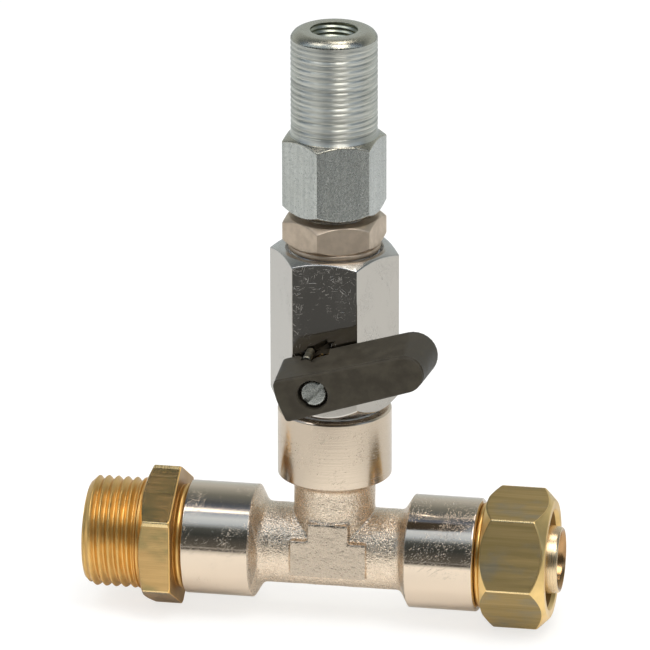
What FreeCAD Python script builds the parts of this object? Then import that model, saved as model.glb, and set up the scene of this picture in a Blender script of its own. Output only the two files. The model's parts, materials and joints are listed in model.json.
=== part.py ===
import FreeCAD, Part
import math
import os

# Tee assembly for a hose line: brass inlet nipple, nickel-plated tee, hose coupling, and on the
# branch a quarter-turn ball valve with a black lever, a reducing nipple and a steel top adapter.
# Millimetres. The run lies along +X, the branch points up +Z, the lever faces -Y.
# The origin is on the run's axis where the inlet nipple's full thread ends.
# All threads are plain cylinders here.

Vec = FreeCAD.Vector

# ---------------------------------------------------------------- thread sizes (radii)
R_G12 = 20.955 / 2          # G1/2 male, inlet
R_G38 = 16.662 / 2          # G3/8 in the tee and in the valve
R_G14 = 13.157 / 2          # G1/4 between reducing nipple and top adapter
R_G18_MINOR = 8.566 / 2     # G1/8 female, core of the thread
R_TOP_THREAD = 8.0          # fine male thread of the top adapter
R_HOSE_THREAD = 9.7         # male thread that carries the hose nut
TAPE = 0.2                  # wrapped thickness of the thread tape
THREAD_CHAMFER = 1.0

# ---------------------------------------------------------------- clearances
RUN_FIT = 0.05              # radial clearance of everything that turns or slides
SEAT_FIT = 0.03             # pieces that are pushed in by hand and stay put
SCREW_FIT = 0.02            # small screw in its tapped hole

# ---------------------------------------------------------------- tee
TEE_REACH = 27.7            # centre to end of the two run arms
BRANCH_REACH = 28.1
TEE_SOCKET_R = 10.6
TEE_SOCKET_LENGTH = 12.9
BRANCH_SOCKET_LENGTH = 13.05
TEE_SHOULDER = 1.75         # axial length of the cone from socket to neck
TEE_NECK_R = 7.6
TEE_NECK_FILLET = 0.9
TEE_RIM_CHAMFER = 0.4
TEE_TAP_DEPTH = 11.0
TEE_PASSAGE_R = 5.5
PAD_FACE = 8.1              # distance of the raised pad's face from the run's axis
PAD_WIDE = 14.3             # width and height of the bar of the inverted T
PAD_WIDE_HEIGHT = 7.0
PAD_STEM = 7.7              # width of the T's stem, and how high it climbs
PAD_STEM_TOP = 7.1

# ---------------------------------------------------------------- inlet nipple
INLET_THREAD_LENGTH = 10.15
INLET_RELIEF_R = 9.9        # bare neck between the thread and the hex
INLET_RELIEF_LENGTH = 0.8
INLET_HEX_AF = 24.0
INLET_HEX_LENGTH = 6.4
INLET_OUTER_FACE_R = 11.2   # round face left by the chamfer, thread side
INLET_OUTER_CHAMFER = 1.28
INLET_INNER_FACE_R = 13.5   # and tee side
INLET_INNER_CHAMFER = 0.25
INLET_COLLAR_R = 9.9
INLET_COLLAR_LENGTH = 1.4
INLET_BORE_R = 5.5
RUN_THREAD_LENGTH = 10.0    # male G3/8 screwed into each end of the tee

# ---------------------------------------------------------------- hose coupling
COUPLING_COLLAR_R = 9.9
COUPLING_COLLAR_LENGTH = 1.15
HOSE_THREAD_LENGTH = 6.0
NOZZLE_LAND_R = 6.6         # straight part of the nozzle next to the thread
NOZZLE_LAND_LENGTH = 4.0
NOZZLE_TIP_R = 6.2
NOZZLE_REACH = 13.95        # from the collar's outer face to the nozzle's tip
NOZZLE_BORE_R = 4.8
NOZZLE_LIP = 0.3            # rounded lip at the tip

# ---------------------------------------------------------------- hose nut and its clamp ring
NUT_AF = 23.0
NUT_LENGTH = 12.3
NUT_INNER_FACE_R = 11.3     # round face left by the 45 degree chamfer, tee side
NUT_OUTER_FACE_R = 10.95    # and mouth side
NUT_FLAT_TILT = 22.0        # turn of one flat's normal above the horizontal, degrees
NUT_THREAD_LENGTH = 8.6
NUT_THROAT_R = 8.7
NUT_CONE_LENGTH = 1.5
NUT_MOUTH_R = 9.4
NUT_REST_GAP = 0.05         # between the nut and the coupling's collar
RING_BORE_R = 8.35
RING_LENGTH = 3.2
RING_BACK_GAP = 0.3         # between the ring and the end of the hose thread
RING_SLIT = 1.6

# ---------------------------------------------------------------- valve body
VALVE_AF = 21.0
VALVE_STANDOFF = 1.15       # bare thread between the tee's rim and the hex
VALVE_TOP_FACE_R = 10.1
VALVE_TOP_CHAMFER = 1.05
VALVE_FOOT_FACE_R = 10.4
VALVE_FOOT_CHAMFER = 1.75
VALVE_THREAD_LENGTH = 9.5   # screwed into the tee
VALVE_COUNTERSINK_R = 9.15
STEM_HEIGHT = 9.15          # stem axis above the foot of the hex
TAP_OVERRUN = 1.25          # how far the top's female thread runs on past the retainer's rim

# ---------------------------------------------------------------- ball, seats, retainer
BALL_WALL = 2.55            # between the ball's port and its widest circle
PASSAGE_STEP = 0.25         # the valve's passage is this much larger in radius than the ball's port
BALL_SLOT_WIDTH = 3.0
BALL_SLOT_DEPTH = 1.8
SEAT_WALL = 0.7             # the seats' rim outside the ball's radius
SEAT_BAND = 0.7             # width of the ring on which a seat touches the ball
SEAT_THICKNESS = 3.0
RETAINER_STEP = 0.63        # the retainer's thread is this much smaller in radius than the G3/8 above it
RETAINER_LEDGE = 0.67       # ledge between the retainer's thread and the seat pocket
RETAINER_LENGTH = 4.4
RETAINER_SLOT = 1.6         # width and depth of the two driving slots
RETAINER_RING_SECTION = 0.65
RETAINER_GROOVE_WIDTH = 1.5
RETAINER_GROOVE_LIFT = 0.6

# ---------------------------------------------------------------- stem
STEM_R = 3.0
STEM_FLANGE_R = 4.0
STEM_FLANGE_LIFT = 0.2      # gap between the ball and the stem's flange
STEM_FLANGE_THICKNESS = 1.15
WASHER_THICKNESS = 0.6
STEM_RING_SECTION = 0.5
STEM_GROOVE_WIDTH = 1.1
STEM_GROOVE_FROM_FACE = 0.4
STEM_SQUARE_AF = 4.0
STEM_SHANK_OUT = 3.5        # round shank standing out of the valve body
STEM_SQUARE_LENGTH = 4.0
STEM_TAP_DEPTH = 6.6

# ---------------------------------------------------------------- lever and its screw
LEVER_REST_ANGLE = 16.3     # above horizontal; 0 is closed, 90 is open
LEVER_GAP = 0.7             # between valve body and lever
LEVER_DEPTH = 11.8
LEVER_ARM = 17.65           # from the screw to the centre of the rounded end
LEVER_FRONT_FACE = (4.0, 3.4, 6.95)   # half height at the tail, radius of the round end, reach of the tail
LEVER_BACK_FACE = (4.45, 4.4, 7.1)   # the same at the back: the sides have draft
LEVER_TAIL_TOP = 0.3        # the tail end bulges: its upper corner lies this far inside its middle
LEVER_TAIL_BOTTOM = 0.7     # and its lower corner this far
LEVER_EDGE = 0.45           # rounding of the front edge
POCKET_START = 5.6          # hollow of the arm, open to the back
POCKET_R = 2.3
POCKET_FLOOR = 2.5          # wall left at the front
RIB = 1.2
STOP_PIN_R = 0.8
STOP_PIN_ORBIT = 4.2        # distance of the pin from the stem's axis
STOP_PIN_ANGLE = 135.0      # its direction, measured from +X towards +Z
STOP_PIN_WALL = 0.5         # metal between the stem's pocket and the pin's foot
STOP_PIN_STAND = 2.4
STOP_GROOVE_DEPTH = 3.0
STOP_GROOVE_INNER_R = 3.3
STOP_SWEEP = 90.0
STOP_MARGIN = 2.0           # degrees of play at each end of the groove
STOP_NOTCH_LEFT = -3.9      # V-shaped notch that opens the groove at the lever's top
STOP_NOTCH_RIGHT = 2.1
STOP_NOTCH_APEX = (0.4, 5.8)         # place along the lever, and depth from its back
SCREW_WEB = 2.2             # plastic between the stem's end and the screw head
SCREW_R = 1.5
SCREW_HEAD_R = 2.45
SCREW_HEAD_HEIGHT = 1.9
SCREW_LENGTH = 8.0
SCREW_SLOT_WIDTH = 0.9
SCREW_SLOT_DEPTH = 0.9
SCREW_SLOT_ANGLE = 46.0     # as it happens to stand, above horizontal
RECESS_R = 2.8

# ---------------------------------------------------------------- reducing nipple
NIPPLE_AF = 17.0
NIPPLE_HEX_LENGTH = 5.25
NIPPLE_HEX_CHAMFER = 1.0
NIPPLE_FACE_INSET = 0.1
NIPPLE_SHOULDER_R = 8.6
NIPPLE_SHOULDER_LENGTH = 0.95
NIPPLE_LOWER_THREAD = 8.45
NIPPLE_END_GAP = 0.95       # between the retainer and the nipple's lower end
NIPPLE_UPPER_THREAD = 9.0
NIPPLE_NECK_GAP = 1.15      # bare thread between nipple and adapter
NIPPLE_BORE_R = 3.5
UPPER_HEX_TURN = 21.4       # turn of a flat's normal from -Y towards +X, degrees

# ---------------------------------------------------------------- top adapter
ADAPTER_AF = 17.0
ADAPTER_HEX_LENGTH = 14.55
ADAPTER_FACE_R = 8.3
ADAPTER_FOOT_CHAMFER = 1.15
ADAPTER_TOP_CHAMFER = 0.95
ADAPTER_THREAD_LENGTH = 20.0
ADAPTER_CROWN_R = 6.3       # flat top inside the rounded edge
ADAPTER_CROWN_DROP = 1.3
ADAPTER_FOOT_TAP = 10.0
ADAPTER_PASSAGE_R = 3.0
ADAPTER_PORT_DEPTH = 11.0
ADAPTER_PORT_CHAMFER = 0.55

# ---------------------------------------------------------------- places worked out from the sizes
INLET_HEX_END = INLET_RELIEF_LENGTH + INLET_HEX_LENGTH
TEE_LEFT = INLET_HEX_END + INLET_COLLAR_LENGTH
TEE_X = TEE_LEFT + TEE_REACH
TEE_RIGHT = TEE_X + TEE_REACH
HEX_FOOT = BRANCH_REACH + VALVE_STANDOFF
VALVE_THREAD_FOOT = BRANCH_REACH - VALVE_THREAD_LENGTH
STEM_Z = HEX_FOOT + STEM_HEIGHT
VALVE_FACE = VALVE_AF / 2
RETAINER_R = R_G38 - RETAINER_STEP
SEAT_POCKET_R = RETAINER_R - RETAINER_LEDGE
SEAT_OUTER_R = SEAT_POCKET_R - SEAT_FIT
BALL_R = SEAT_OUTER_R - SEAT_WALL
BALL_PORT_R = BALL_R - BALL_WALL
VALVE_PASSAGE_R = BALL_PORT_R + PASSAGE_STEP
SEAT_INNER = math.sqrt(BALL_R ** 2 - (VALVE_PASSAGE_R + SEAT_BAND) ** 2)
SEAT_OUTER = SEAT_INNER + SEAT_THICKNESS
RETAINER_TOP = STEM_Z + SEAT_OUTER + RETAINER_LENGTH
NIPPLE_END = RETAINER_TOP + NIPPLE_END_GAP
HEX_TOP = NIPPLE_END + NIPPLE_LOWER_THREAD
COUNTERSINK_FLOOR = HEX_TOP - (VALVE_COUNTERSINK_R - R_G38)
NIPPLE_HEX_FOOT = HEX_TOP + NIPPLE_SHOULDER_LENGTH
NIPPLE_HEX_TOP = NIPPLE_HEX_FOOT + NIPPLE_HEX_LENGTH
NIPPLE_TOP = NIPPLE_HEX_TOP + NIPPLE_UPPER_THREAD
ADAPTER_FOOT = NIPPLE_HEX_TOP + NIPPLE_NECK_GAP
ADAPTER_HEX_TOP = ADAPTER_FOOT + ADAPTER_HEX_LENGTH
ADAPTER_TOP = ADAPTER_HEX_TOP + ADAPTER_THREAD_LENGTH
COLLAR_FACE = TEE_RIGHT + COUPLING_COLLAR_LENGTH
NUT_START = COLLAR_FACE + NUT_REST_GAP
NUT_THREAD_R = R_HOSE_THREAD + RUN_FIT
LEVER_BACK = VALVE_FACE + LEVER_GAP
LEVER_FRONT = LEVER_BACK + LEVER_DEPTH
STEM_FLANGE_START = BALL_R + STEM_FLANGE_LIFT
FLANGE_TOP = STEM_FLANGE_START + STEM_FLANGE_THICKNESS
STEM_POCKET_END = FLANGE_TOP + RUN_FIT + WASHER_THICKNESS
STEM_SQUARE_START = VALVE_FACE + STEM_SHANK_OUT
STEM_END = STEM_SQUARE_START + STEM_SQUARE_LENGTH
SCREW_HEAD_SEAT = STEM_END + SCREW_WEB

RUN = (Vec(0, 0, 0), Vec(1, 0, 0), Vec(0, 0, 1))
BRANCH = (Vec(TEE_X, 0, 0), Vec(0, 0, 1), Vec(0, -1, 0))
STEM_AXIS = (Vec(TEE_X, 0, STEM_Z), Vec(0, -1, 0), Vec(0, 0, 1))


# ---------------------------------------------------------------- shapes
def at(line, along, out):
    """Point on a line's side plane: along its axis and out from it."""
    origin, axis, side = line
    return origin + axis * along + side * out


def turned(line, outline, turn=0.0, sweep=360.0):
    """Solid of revolution. An outline entry is (along, out), or (mid, mid_out, along, out) for an arc.

    A partial sweep starts at the side direction turned about the axis by the given degrees.
    """
    origin, axis, side = line
    plane = (origin, axis, FreeCAD.Rotation(axis, turn).multVec(side))
    edges = []
    start = at(plane, *outline[0][-2:])
    for entry in outline[1:] + [outline[0][-2:]]:
        end = at(plane, *entry[-2:])
        if (end - start).Length < 1e-7:
            continue
        if len(entry) == 4:
            edges.append(Part.Arc(start, at(plane, *entry[:2]), end).toShape())
        else:
            edges.append(Part.makeLine(start, end))
        start = end
    return Part.Face(Part.Wire(edges)).revolve(origin, axis, sweep)


def rod(line, start, end, radius):
    return Part.makeCylinder(radius, end - start, at(line, start, 0), line[1])


def tube(line, start, end, outer, inner):
    return rod(line, start, end, outer).cut(rod(line, start, end, inner))


def bored(solid, line, *bores):
    """Cut plain bores, each (start, end, radius), out of a solid."""
    for start, end, radius in bores:
        solid = solid.cut(rod(line, start, end, radius))
    return solid


def hexagon(line, start, end, across_flats, turn=0.0):
    """Hexagonal prism. With no turn one flat faces along the line's side direction."""
    corner = across_flats / math.sqrt(3)
    origin, axis, side = line
    points = []
    for k in range(6):
        spin = FreeCAD.Rotation(axis, turn + 30 + 60 * k)
        points.append(origin + axis * start + spin.multVec(side) * corner)
    return Part.Face(Part.makePolygon(points + points[:1])).extrude(axis * (end - start))


def hex_head(line, start, end, across_flats, low, high, turn=0.0):
    """Hex with its corners turned off: low and high are (face radius, axial chamfer) of each end."""
    corner = across_flats / math.sqrt(3)
    envelope = turned(line, [(start, 0), (start, low[0]), (start + low[1], corner),
                             (end - high[1], corner), (end, high[0]), (end, 0)])
    return hexagon(line, start, end, across_flats, turn).common(envelope)


def chamfered_rod(line, start, end, radius, chamfer, at_end):
    """Rod whose free end, at its end or at its start, is chamfered."""
    if at_end:
        outline = [(start, 0), (start, radius), (end - chamfer, radius), (end, radius - chamfer), (end, 0)]
    else:
        outline = [(start, 0), (start, radius - chamfer), (start + chamfer, radius), (end, radius), (end, 0)]
    return turned(line, outline)


def fused(*solids):
    return solids[0].fuse(list(solids[1:])).removeSplitter()


def ring_of_wire(line, along, orbit, section):
    return Part.makeTorus(orbit, section, at(line, along, 0), line[1])


def box_along(low, high):
    return Part.makeBox(high.x - low.x, high.y - low.y, high.z - low.z, low)


# ---------------------------------------------------------------- tee
def tee_arm(line, reach, socket_length):
    """One arm: neck, filleted cone and socket, from the centre out."""
    socket_start = reach - socket_length
    cone_start = socket_start - TEE_SHOULDER
    slope = math.atan2(TEE_SOCKET_R - TEE_NECK_R, TEE_SHOULDER)
    tangent = TEE_NECK_FILLET * math.tan(slope / 2)
    centre_out = TEE_NECK_R + TEE_NECK_FILLET
    centre_along = cone_start - tangent
    middle = (centre_along + TEE_NECK_FILLET * math.sin(slope / 2),
              centre_out - TEE_NECK_FILLET * math.cos(slope / 2))
    fillet_end = (cone_start + tangent * math.cos(slope), TEE_NECK_R + tangent * math.sin(slope))
    return turned(line, [(0, 0), (0, TEE_NECK_R), (centre_along, TEE_NECK_R), middle + fillet_end,
                         (socket_start, TEE_SOCKET_R), (reach - TEE_RIM_CHAMFER, TEE_SOCKET_R),
                         (reach, TEE_SOCKET_R - TEE_RIM_CHAMFER), (reach, 0)])


def tee_body():
    centre = Vec(TEE_X, 0, 0)
    arms = [((centre, Vec(-1, 0, 0), Vec(0, 0, 1)), TEE_REACH, TEE_SOCKET_LENGTH),
            ((centre, Vec(1, 0, 0), Vec(0, 0, 1)), TEE_REACH, TEE_SOCKET_LENGTH),
            (BRANCH, BRANCH_REACH, BRANCH_SOCKET_LENGTH)]
    bar = box_along(Vec(TEE_X - PAD_WIDE / 2, -PAD_FACE, -PAD_WIDE_HEIGHT / 2),
                    Vec(TEE_X + PAD_WIDE / 2, 0, PAD_WIDE_HEIGHT / 2))
    stem = box_along(Vec(TEE_X - PAD_STEM / 2, -PAD_FACE, -PAD_WIDE_HEIGHT / 2),
                     Vec(TEE_X + PAD_STEM / 2, 0, PAD_STEM_TOP))
    body = fused(*[tee_arm(*arm) for arm in arms], bar, stem)
    for line, reach, _ in arms:
        body = bored(body, line, (reach - TEE_TAP_DEPTH, reach, R_G38), (0, reach, TEE_PASSAGE_R))
    return body.removeSplitter()


# ---------------------------------------------------------------- run
def inlet_nipple():
    thread = chamfered_rod(RUN, -INLET_THREAD_LENGTH, 0, R_G12, THREAD_CHAMFER, False)
    relief = rod(RUN, 0, INLET_RELIEF_LENGTH, INLET_RELIEF_R)
    flats = hex_head(RUN, INLET_RELIEF_LENGTH, INLET_HEX_END, INLET_HEX_AF,
                     (INLET_OUTER_FACE_R, INLET_OUTER_CHAMFER),
                     (INLET_INNER_FACE_R, INLET_INNER_CHAMFER), 90)
    bulge = INLET_COLLAR_LENGTH / 4
    collar = turned(RUN, [(INLET_HEX_END, 0), (INLET_HEX_END, INLET_COLLAR_R - bulge),
                          (INLET_HEX_END + INLET_COLLAR_LENGTH / 2, INLET_COLLAR_R,
                           TEE_LEFT, INLET_COLLAR_R - bulge), (TEE_LEFT, 0)])
    tail_end = TEE_LEFT + RUN_THREAD_LENGTH
    tail = chamfered_rod(RUN, TEE_LEFT, tail_end, R_G38 - TAPE, THREAD_CHAMFER, True)
    body = fused(thread, relief, flats, collar, tail)
    return bored(body, RUN, (-INLET_THREAD_LENGTH, tail_end, INLET_BORE_R))


def coupling_body():
    tail_start = TEE_RIGHT - RUN_THREAD_LENGTH
    tip = COLLAR_FACE + NOZZLE_REACH
    thread_end = COLLAR_FACE + HOSE_THREAD_LENGTH
    bulge = COUPLING_COLLAR_LENGTH / 4
    solid = turned(RUN, [(tail_start, NOZZLE_BORE_R), (tail_start, R_G38 - TAPE - THREAD_CHAMFER),
                         (tail_start + THREAD_CHAMFER, R_G38 - TAPE), (TEE_RIGHT, R_G38 - TAPE),
                         (TEE_RIGHT, COUPLING_COLLAR_R - bulge),
                         (TEE_RIGHT + COUPLING_COLLAR_LENGTH / 2, COUPLING_COLLAR_R,
                          COLLAR_FACE, COUPLING_COLLAR_R - bulge),
                         (COLLAR_FACE, R_HOSE_THREAD - THREAD_CHAMFER / 2),
                         (COLLAR_FACE + THREAD_CHAMFER / 2, R_HOSE_THREAD),
                         (thread_end - THREAD_CHAMFER, R_HOSE_THREAD),
                         (thread_end, R_HOSE_THREAD - THREAD_CHAMFER), (thread_end, NOZZLE_LAND_R),
                         (thread_end + NOZZLE_LAND_LENGTH, NOZZLE_LAND_R),
                         (tip - NOZZLE_LIP, NOZZLE_TIP_R), (tip, NOZZLE_TIP_R - NOZZLE_LIP),
                         (tip, NOZZLE_BORE_R)])
    return solid


def nut_cavity(line, start):
    """Thread, closing cone and flared mouth of the hose nut."""
    cone_start = start + NUT_THREAD_LENGTH
    throat = cone_start + NUT_CONE_LENGTH
    end = start + NUT_LENGTH
    return turned(line, [(start, 0), (start, NUT_THREAD_R), (cone_start, NUT_THREAD_R),
                         (throat, NUT_THROAT_R), (end, NUT_MOUTH_R), (end, 0)])


def hose_nut():
    corner = NUT_AF / math.sqrt(3)
    blank = hex_head(RUN, NUT_START, NUT_START + NUT_LENGTH, NUT_AF,
                     (NUT_INNER_FACE_R, corner - NUT_INNER_FACE_R),
                     (NUT_OUTER_FACE_R, corner - NUT_OUTER_FACE_R), 90 - NUT_FLAT_TILT)
    return blank.cut(nut_cavity(RUN, NUT_START))


def clamp_ring():
    """Split ring that the nut's cone closes on the hose."""
    start = COLLAR_FACE + HOSE_THREAD_LENGTH + RING_BACK_GAP
    cone_start = NUT_START + NUT_THREAD_LENGTH
    outer = NUT_THREAD_R - RUN_FIT
    end = start + RING_LENGTH
    slope = (NUT_THREAD_R - NUT_THROAT_R) / NUT_CONE_LENGTH
    ring = turned(RUN, [(start, RING_BORE_R), (start, outer), (cone_start, outer),
                        (end, outer - slope * (end - cone_start)), (end, RING_BORE_R)])
    slit = box_along(Vec(start, -RING_SLIT / 2, -NUT_THREAD_R), Vec(end, RING_SLIT / 2, 0))
    return ring.cut(slit)


# ---------------------------------------------------------------- valve
def valve_body():
    flats = hex_head(BRANCH, HEX_FOOT, HEX_TOP, VALVE_AF, (VALVE_FOOT_FACE_R, VALVE_FOOT_CHAMFER),
                     (VALVE_TOP_FACE_R, VALVE_TOP_CHAMFER))
    thread = chamfered_rod(BRANCH, VALVE_THREAD_FOOT, HEX_FOOT, R_G38 - TAPE, THREAD_CHAMFER, False)
    tap_floor = RETAINER_TOP - TAP_OVERRUN
    body = bored(fused(flats, thread), BRANCH, (VALVE_THREAD_FOOT, HEX_TOP, VALVE_PASSAGE_R),
                 (STEM_Z - SEAT_OUTER, tap_floor, SEAT_POCKET_R),
                 (STEM_Z + SEAT_OUTER, tap_floor, RETAINER_R), (tap_floor, HEX_TOP, R_G38))
    body = body.cut(turned(BRANCH, [(HEX_TOP, 0), (HEX_TOP, VALVE_COUNTERSINK_R), (COUNTERSINK_FLOOR, R_G38),
                                    (COUNTERSINK_FLOOR, 0)]))
    body = bored(body, STEM_AXIS, (0, STEM_POCKET_END, STEM_FLANGE_R + RUN_FIT),
                 (0, VALVE_FACE + 1, STEM_R + RUN_FIT))
    return body.cut(stop_pin())


def stop_pin():
    angle = math.radians(STOP_PIN_ANGLE)
    foot = Vec(TEE_X + STOP_PIN_ORBIT * math.cos(angle), 0, STEM_Z + STOP_PIN_ORBIT * math.sin(angle))
    line = (foot, STEM_AXIS[1], STEM_AXIS[2])
    start = STEM_POCKET_END + STOP_PIN_WALL
    return chamfered_rod(line, start, VALVE_FACE + STOP_PIN_STAND, STOP_PIN_R, STOP_PIN_R / 4, True)


def seat(upward):
    """Seat ring below (-1) or above (+1) the ball, with a spherical face."""
    faces = sorted((STEM_Z + upward * SEAT_INNER, STEM_Z + upward * SEAT_OUTER))
    ring = tube(BRANCH, faces[0], faces[1], SEAT_OUTER_R, VALVE_PASSAGE_R)
    return ring.cut(Part.makeSphere(BALL_R + RUN_FIT, at(STEM_AXIS, 0, 0)))


def retainer():
    foot = STEM_Z + SEAT_OUTER
    top = RETAINER_TOP
    groove = foot + RETAINER_GROOVE_LIFT
    groove_r = RETAINER_R - 2 * RETAINER_RING_SECTION - SEAT_FIT
    ring = tube(BRANCH, foot, top, RETAINER_R - SCREW_FIT, VALVE_PASSAGE_R)
    ring = ring.cut(tube(BRANCH, groove, groove + RETAINER_GROOVE_WIDTH, RETAINER_R, groove_r))
    half = RETAINER_SLOT / 2
    slots = box_along(Vec(TEE_X - RETAINER_R, -half, top - RETAINER_SLOT),
                      Vec(TEE_X + RETAINER_R, half, top))
    return ring.cut(slots)


def retainer_o_ring():
    along = STEM_Z + SEAT_OUTER + RETAINER_GROOVE_LIFT + RETAINER_GROOVE_WIDTH / 2
    orbit = RETAINER_R - RETAINER_RING_SECTION - SEAT_FIT / 2
    return ring_of_wire(BRANCH, along, orbit, RETAINER_RING_SECTION)


def posed(shape):
    """Turn a shape built for a level lever to the rest angle about the stem's axis."""
    turned_shape = shape.copy()
    turned_shape.rotate(at(STEM_AXIS, 0, 0), STEM_AXIS[1], LEVER_REST_ANGLE)
    return turned_shape


def stem_box(left, right, low, high, near, far):
    """Box about the stem's axis: x and z from the axis, near and far along it."""
    return box_along(Vec(TEE_X + left, -far, STEM_Z + low), Vec(TEE_X + right, -near, STEM_Z + high))


def valve_ball():
    port_line = (at(STEM_AXIS, 0, 0), Vec(1, 0, 0), Vec(0, 0, 1))
    rim = math.sqrt(BALL_R ** 2 - BALL_PORT_R ** 2)
    ball = turned(port_line, [(-rim, BALL_PORT_R), (0, BALL_R, rim, BALL_PORT_R)])
    half = BALL_SLOT_WIDTH / 2
    clear = BALL_R + BALL_SLOT_DEPTH
    slot = stem_box(-half, half, -clear, clear, BALL_R - BALL_SLOT_DEPTH, clear)
    return posed(ball.cut(slot))


def valve_stem():
    groove_end = VALVE_FACE - STEM_GROOVE_FROM_FACE
    groove_start = groove_end - STEM_GROOVE_WIDTH
    groove_r = STEM_R - 2 * STEM_RING_SECTION
    tang_tip = BALL_R - BALL_SLOT_DEPTH + RUN_FIT
    shank = fused(rod(STEM_AXIS, STEM_FLANGE_START, FLANGE_TOP, STEM_FLANGE_R),
                  rod(STEM_AXIS, STEM_FLANGE_START, STEM_SQUARE_START, STEM_R),
                  rod(STEM_AXIS, tang_tip, STEM_FLANGE_START, STEM_R).common(
                      stem_box(-BALL_SLOT_WIDTH / 2 + RUN_FIT, BALL_SLOT_WIDTH / 2 - RUN_FIT,
                               -STEM_R, STEM_R, tang_tip, STEM_FLANGE_START)))
    half = STEM_SQUARE_AF / 2
    shank = fused(shank, stem_box(-half, half, -half, half, STEM_SQUARE_START, STEM_END))
    shank = shank.cut(tube(STEM_AXIS, groove_start, groove_end, STEM_R, groove_r))
    return posed(bored(shank, STEM_AXIS, (STEM_END - STEM_TAP_DEPTH, STEM_END, SCREW_R + SCREW_FIT)))


def stem_washer():
    return tube(STEM_AXIS, FLANGE_TOP + RUN_FIT, STEM_POCKET_END, STEM_FLANGE_R, STEM_R + RUN_FIT)


def stem_o_ring():
    along = VALVE_FACE - STEM_GROOVE_FROM_FACE - STEM_GROOVE_WIDTH / 2
    return ring_of_wire(STEM_AXIS, along, STEM_R - STEM_RING_SECTION, STEM_RING_SECTION)


# ---------------------------------------------------------------- lever
def lever_outline(distance, half, tip_r, tail):
    """Level lever outline at a distance from the valve's axis: bulging tail, tapering sides, round end."""
    taper = math.asin((half - tip_r) / (LEVER_ARM + tail))
    tangent = Vec(math.sin(taper), 0, math.cos(taper)) * tip_r
    centre = Vec(TEE_X + LEVER_ARM, -distance, STEM_Z)
    top = centre + tangent
    bottom = centre + Vec(tangent.x, 0, -tangent.z)
    tail_top = Vec(TEE_X - tail + LEVER_TAIL_TOP, -distance, STEM_Z + half)
    tail_middle = Vec(TEE_X - tail, -distance, STEM_Z)
    tail_bottom = Vec(TEE_X - tail + LEVER_TAIL_BOTTOM, -distance, STEM_Z - half)
    tip = centre + Vec(tip_r, 0, 0)
    return Part.Wire([Part.makeLine(tail_bottom, bottom), Part.Arc(bottom, tip, top).toShape(),
                      Part.makeLine(top, tail_top), Part.Arc(tail_top, tail_middle, tail_bottom).toShape()])


def arm_pocket():
    """Hollow of the arm, open to the back, with one rib across it."""
    depth = LEVER_DEPTH - POCKET_FLOOR
    start = Vec(TEE_X + LEVER_ARM, -LEVER_BACK, STEM_Z)
    round_end = Part.makeCylinder(POCKET_R, depth, start, STEM_AXIS[1])
    straight = stem_box(POCKET_START, LEVER_ARM, -POCKET_R, POCKET_R, LEVER_BACK, LEVER_BACK + depth)
    middle = (POCKET_START + LEVER_ARM) / 2
    rib = stem_box(middle - RIB / 2, middle + RIB / 2, -POCKET_R, POCKET_R, LEVER_BACK, LEVER_BACK + depth)
    return straight.fuse(round_end).cut(rib)


def stop_groove():
    """Sector in the hub's back that the stop pin runs in, with a V-shaped notch up through the top."""
    half_pin = math.degrees(math.asin(STOP_PIN_R / STOP_PIN_ORBIT)) + STOP_MARGIN
    first = STOP_PIN_ANGLE - STOP_SWEEP - half_pin
    outer = STOP_PIN_ORBIT + STOP_PIN_R + 2 * RUN_FIT
    floor = LEVER_BACK + STOP_GROOVE_DEPTH
    sector = turned(STEM_AXIS, [(LEVER_BACK, STOP_GROOVE_INNER_R), (LEVER_BACK, outer), (floor, outer),
                                (floor, STOP_GROOVE_INNER_R)], first - 90, STOP_SWEEP + 2 * half_pin)
    low = Vec(TEE_X, -LEVER_BACK, STEM_Z + STOP_GROOVE_INNER_R)
    corners = [low + Vec(STOP_NOTCH_LEFT, 0, 0), low + Vec(STOP_NOTCH_RIGHT, 0, 0),
               low + Vec(STOP_NOTCH_APEX[0], -STOP_NOTCH_APEX[1], 0)]
    notch = Part.Face(Part.makePolygon(corners + corners[:1])).extrude(Vec(0, 0, LEVER_BACK_FACE[0]))
    return sector.fuse(notch)


def lever():
    blank = Part.makeLoft([lever_outline(LEVER_BACK, *LEVER_BACK_FACE),
                           lever_outline(LEVER_FRONT, *LEVER_FRONT_FACE)], True, True)
    front_edges = [edge for edge in blank.Edges if edge.BoundBox.YMax < 0.001 - LEVER_FRONT]
    blank = blank.makeFillet(LEVER_EDGE, front_edges)
    half = STEM_SQUARE_AF / 2 + SEAT_FIT
    socket = stem_box(-half, half, -half, half, STEM_SQUARE_START - RUN_FIT, STEM_END + RUN_FIT)
    blank = blank.cut(socket).cut(arm_pocket()).cut(stop_groove())
    blank = bored(blank, STEM_AXIS, (LEVER_BACK, STEM_SQUARE_START, STEM_R + RUN_FIT),
                  (STEM_END, SCREW_HEAD_SEAT, SCREW_R + RUN_FIT), (SCREW_HEAD_SEAT, LEVER_FRONT, RECESS_R))
    return posed(blank)


def lever_screw():
    head_top = SCREW_HEAD_SEAT + SCREW_HEAD_HEIGHT
    crown = SCREW_HEAD_HEIGHT / 6
    foot = SCREW_HEAD_SEAT - SCREW_LENGTH
    screw = turned(STEM_AXIS, [(foot, 0), (foot, SCREW_R),
                               (SCREW_HEAD_SEAT, SCREW_R), (SCREW_HEAD_SEAT, SCREW_HEAD_R),
                               (head_top - crown, SCREW_HEAD_R), (head_top, SCREW_HEAD_R - crown),
                               (head_top, 0)])
    slot = stem_box(-SCREW_HEAD_R, SCREW_HEAD_R, -SCREW_SLOT_WIDTH / 2, SCREW_SLOT_WIDTH / 2,
                    head_top - SCREW_SLOT_DEPTH, head_top)
    screw = screw.cut(slot)
    screw.rotate(at(STEM_AXIS, 0, 0), STEM_AXIS[1], SCREW_SLOT_ANGLE)
    return screw


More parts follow.
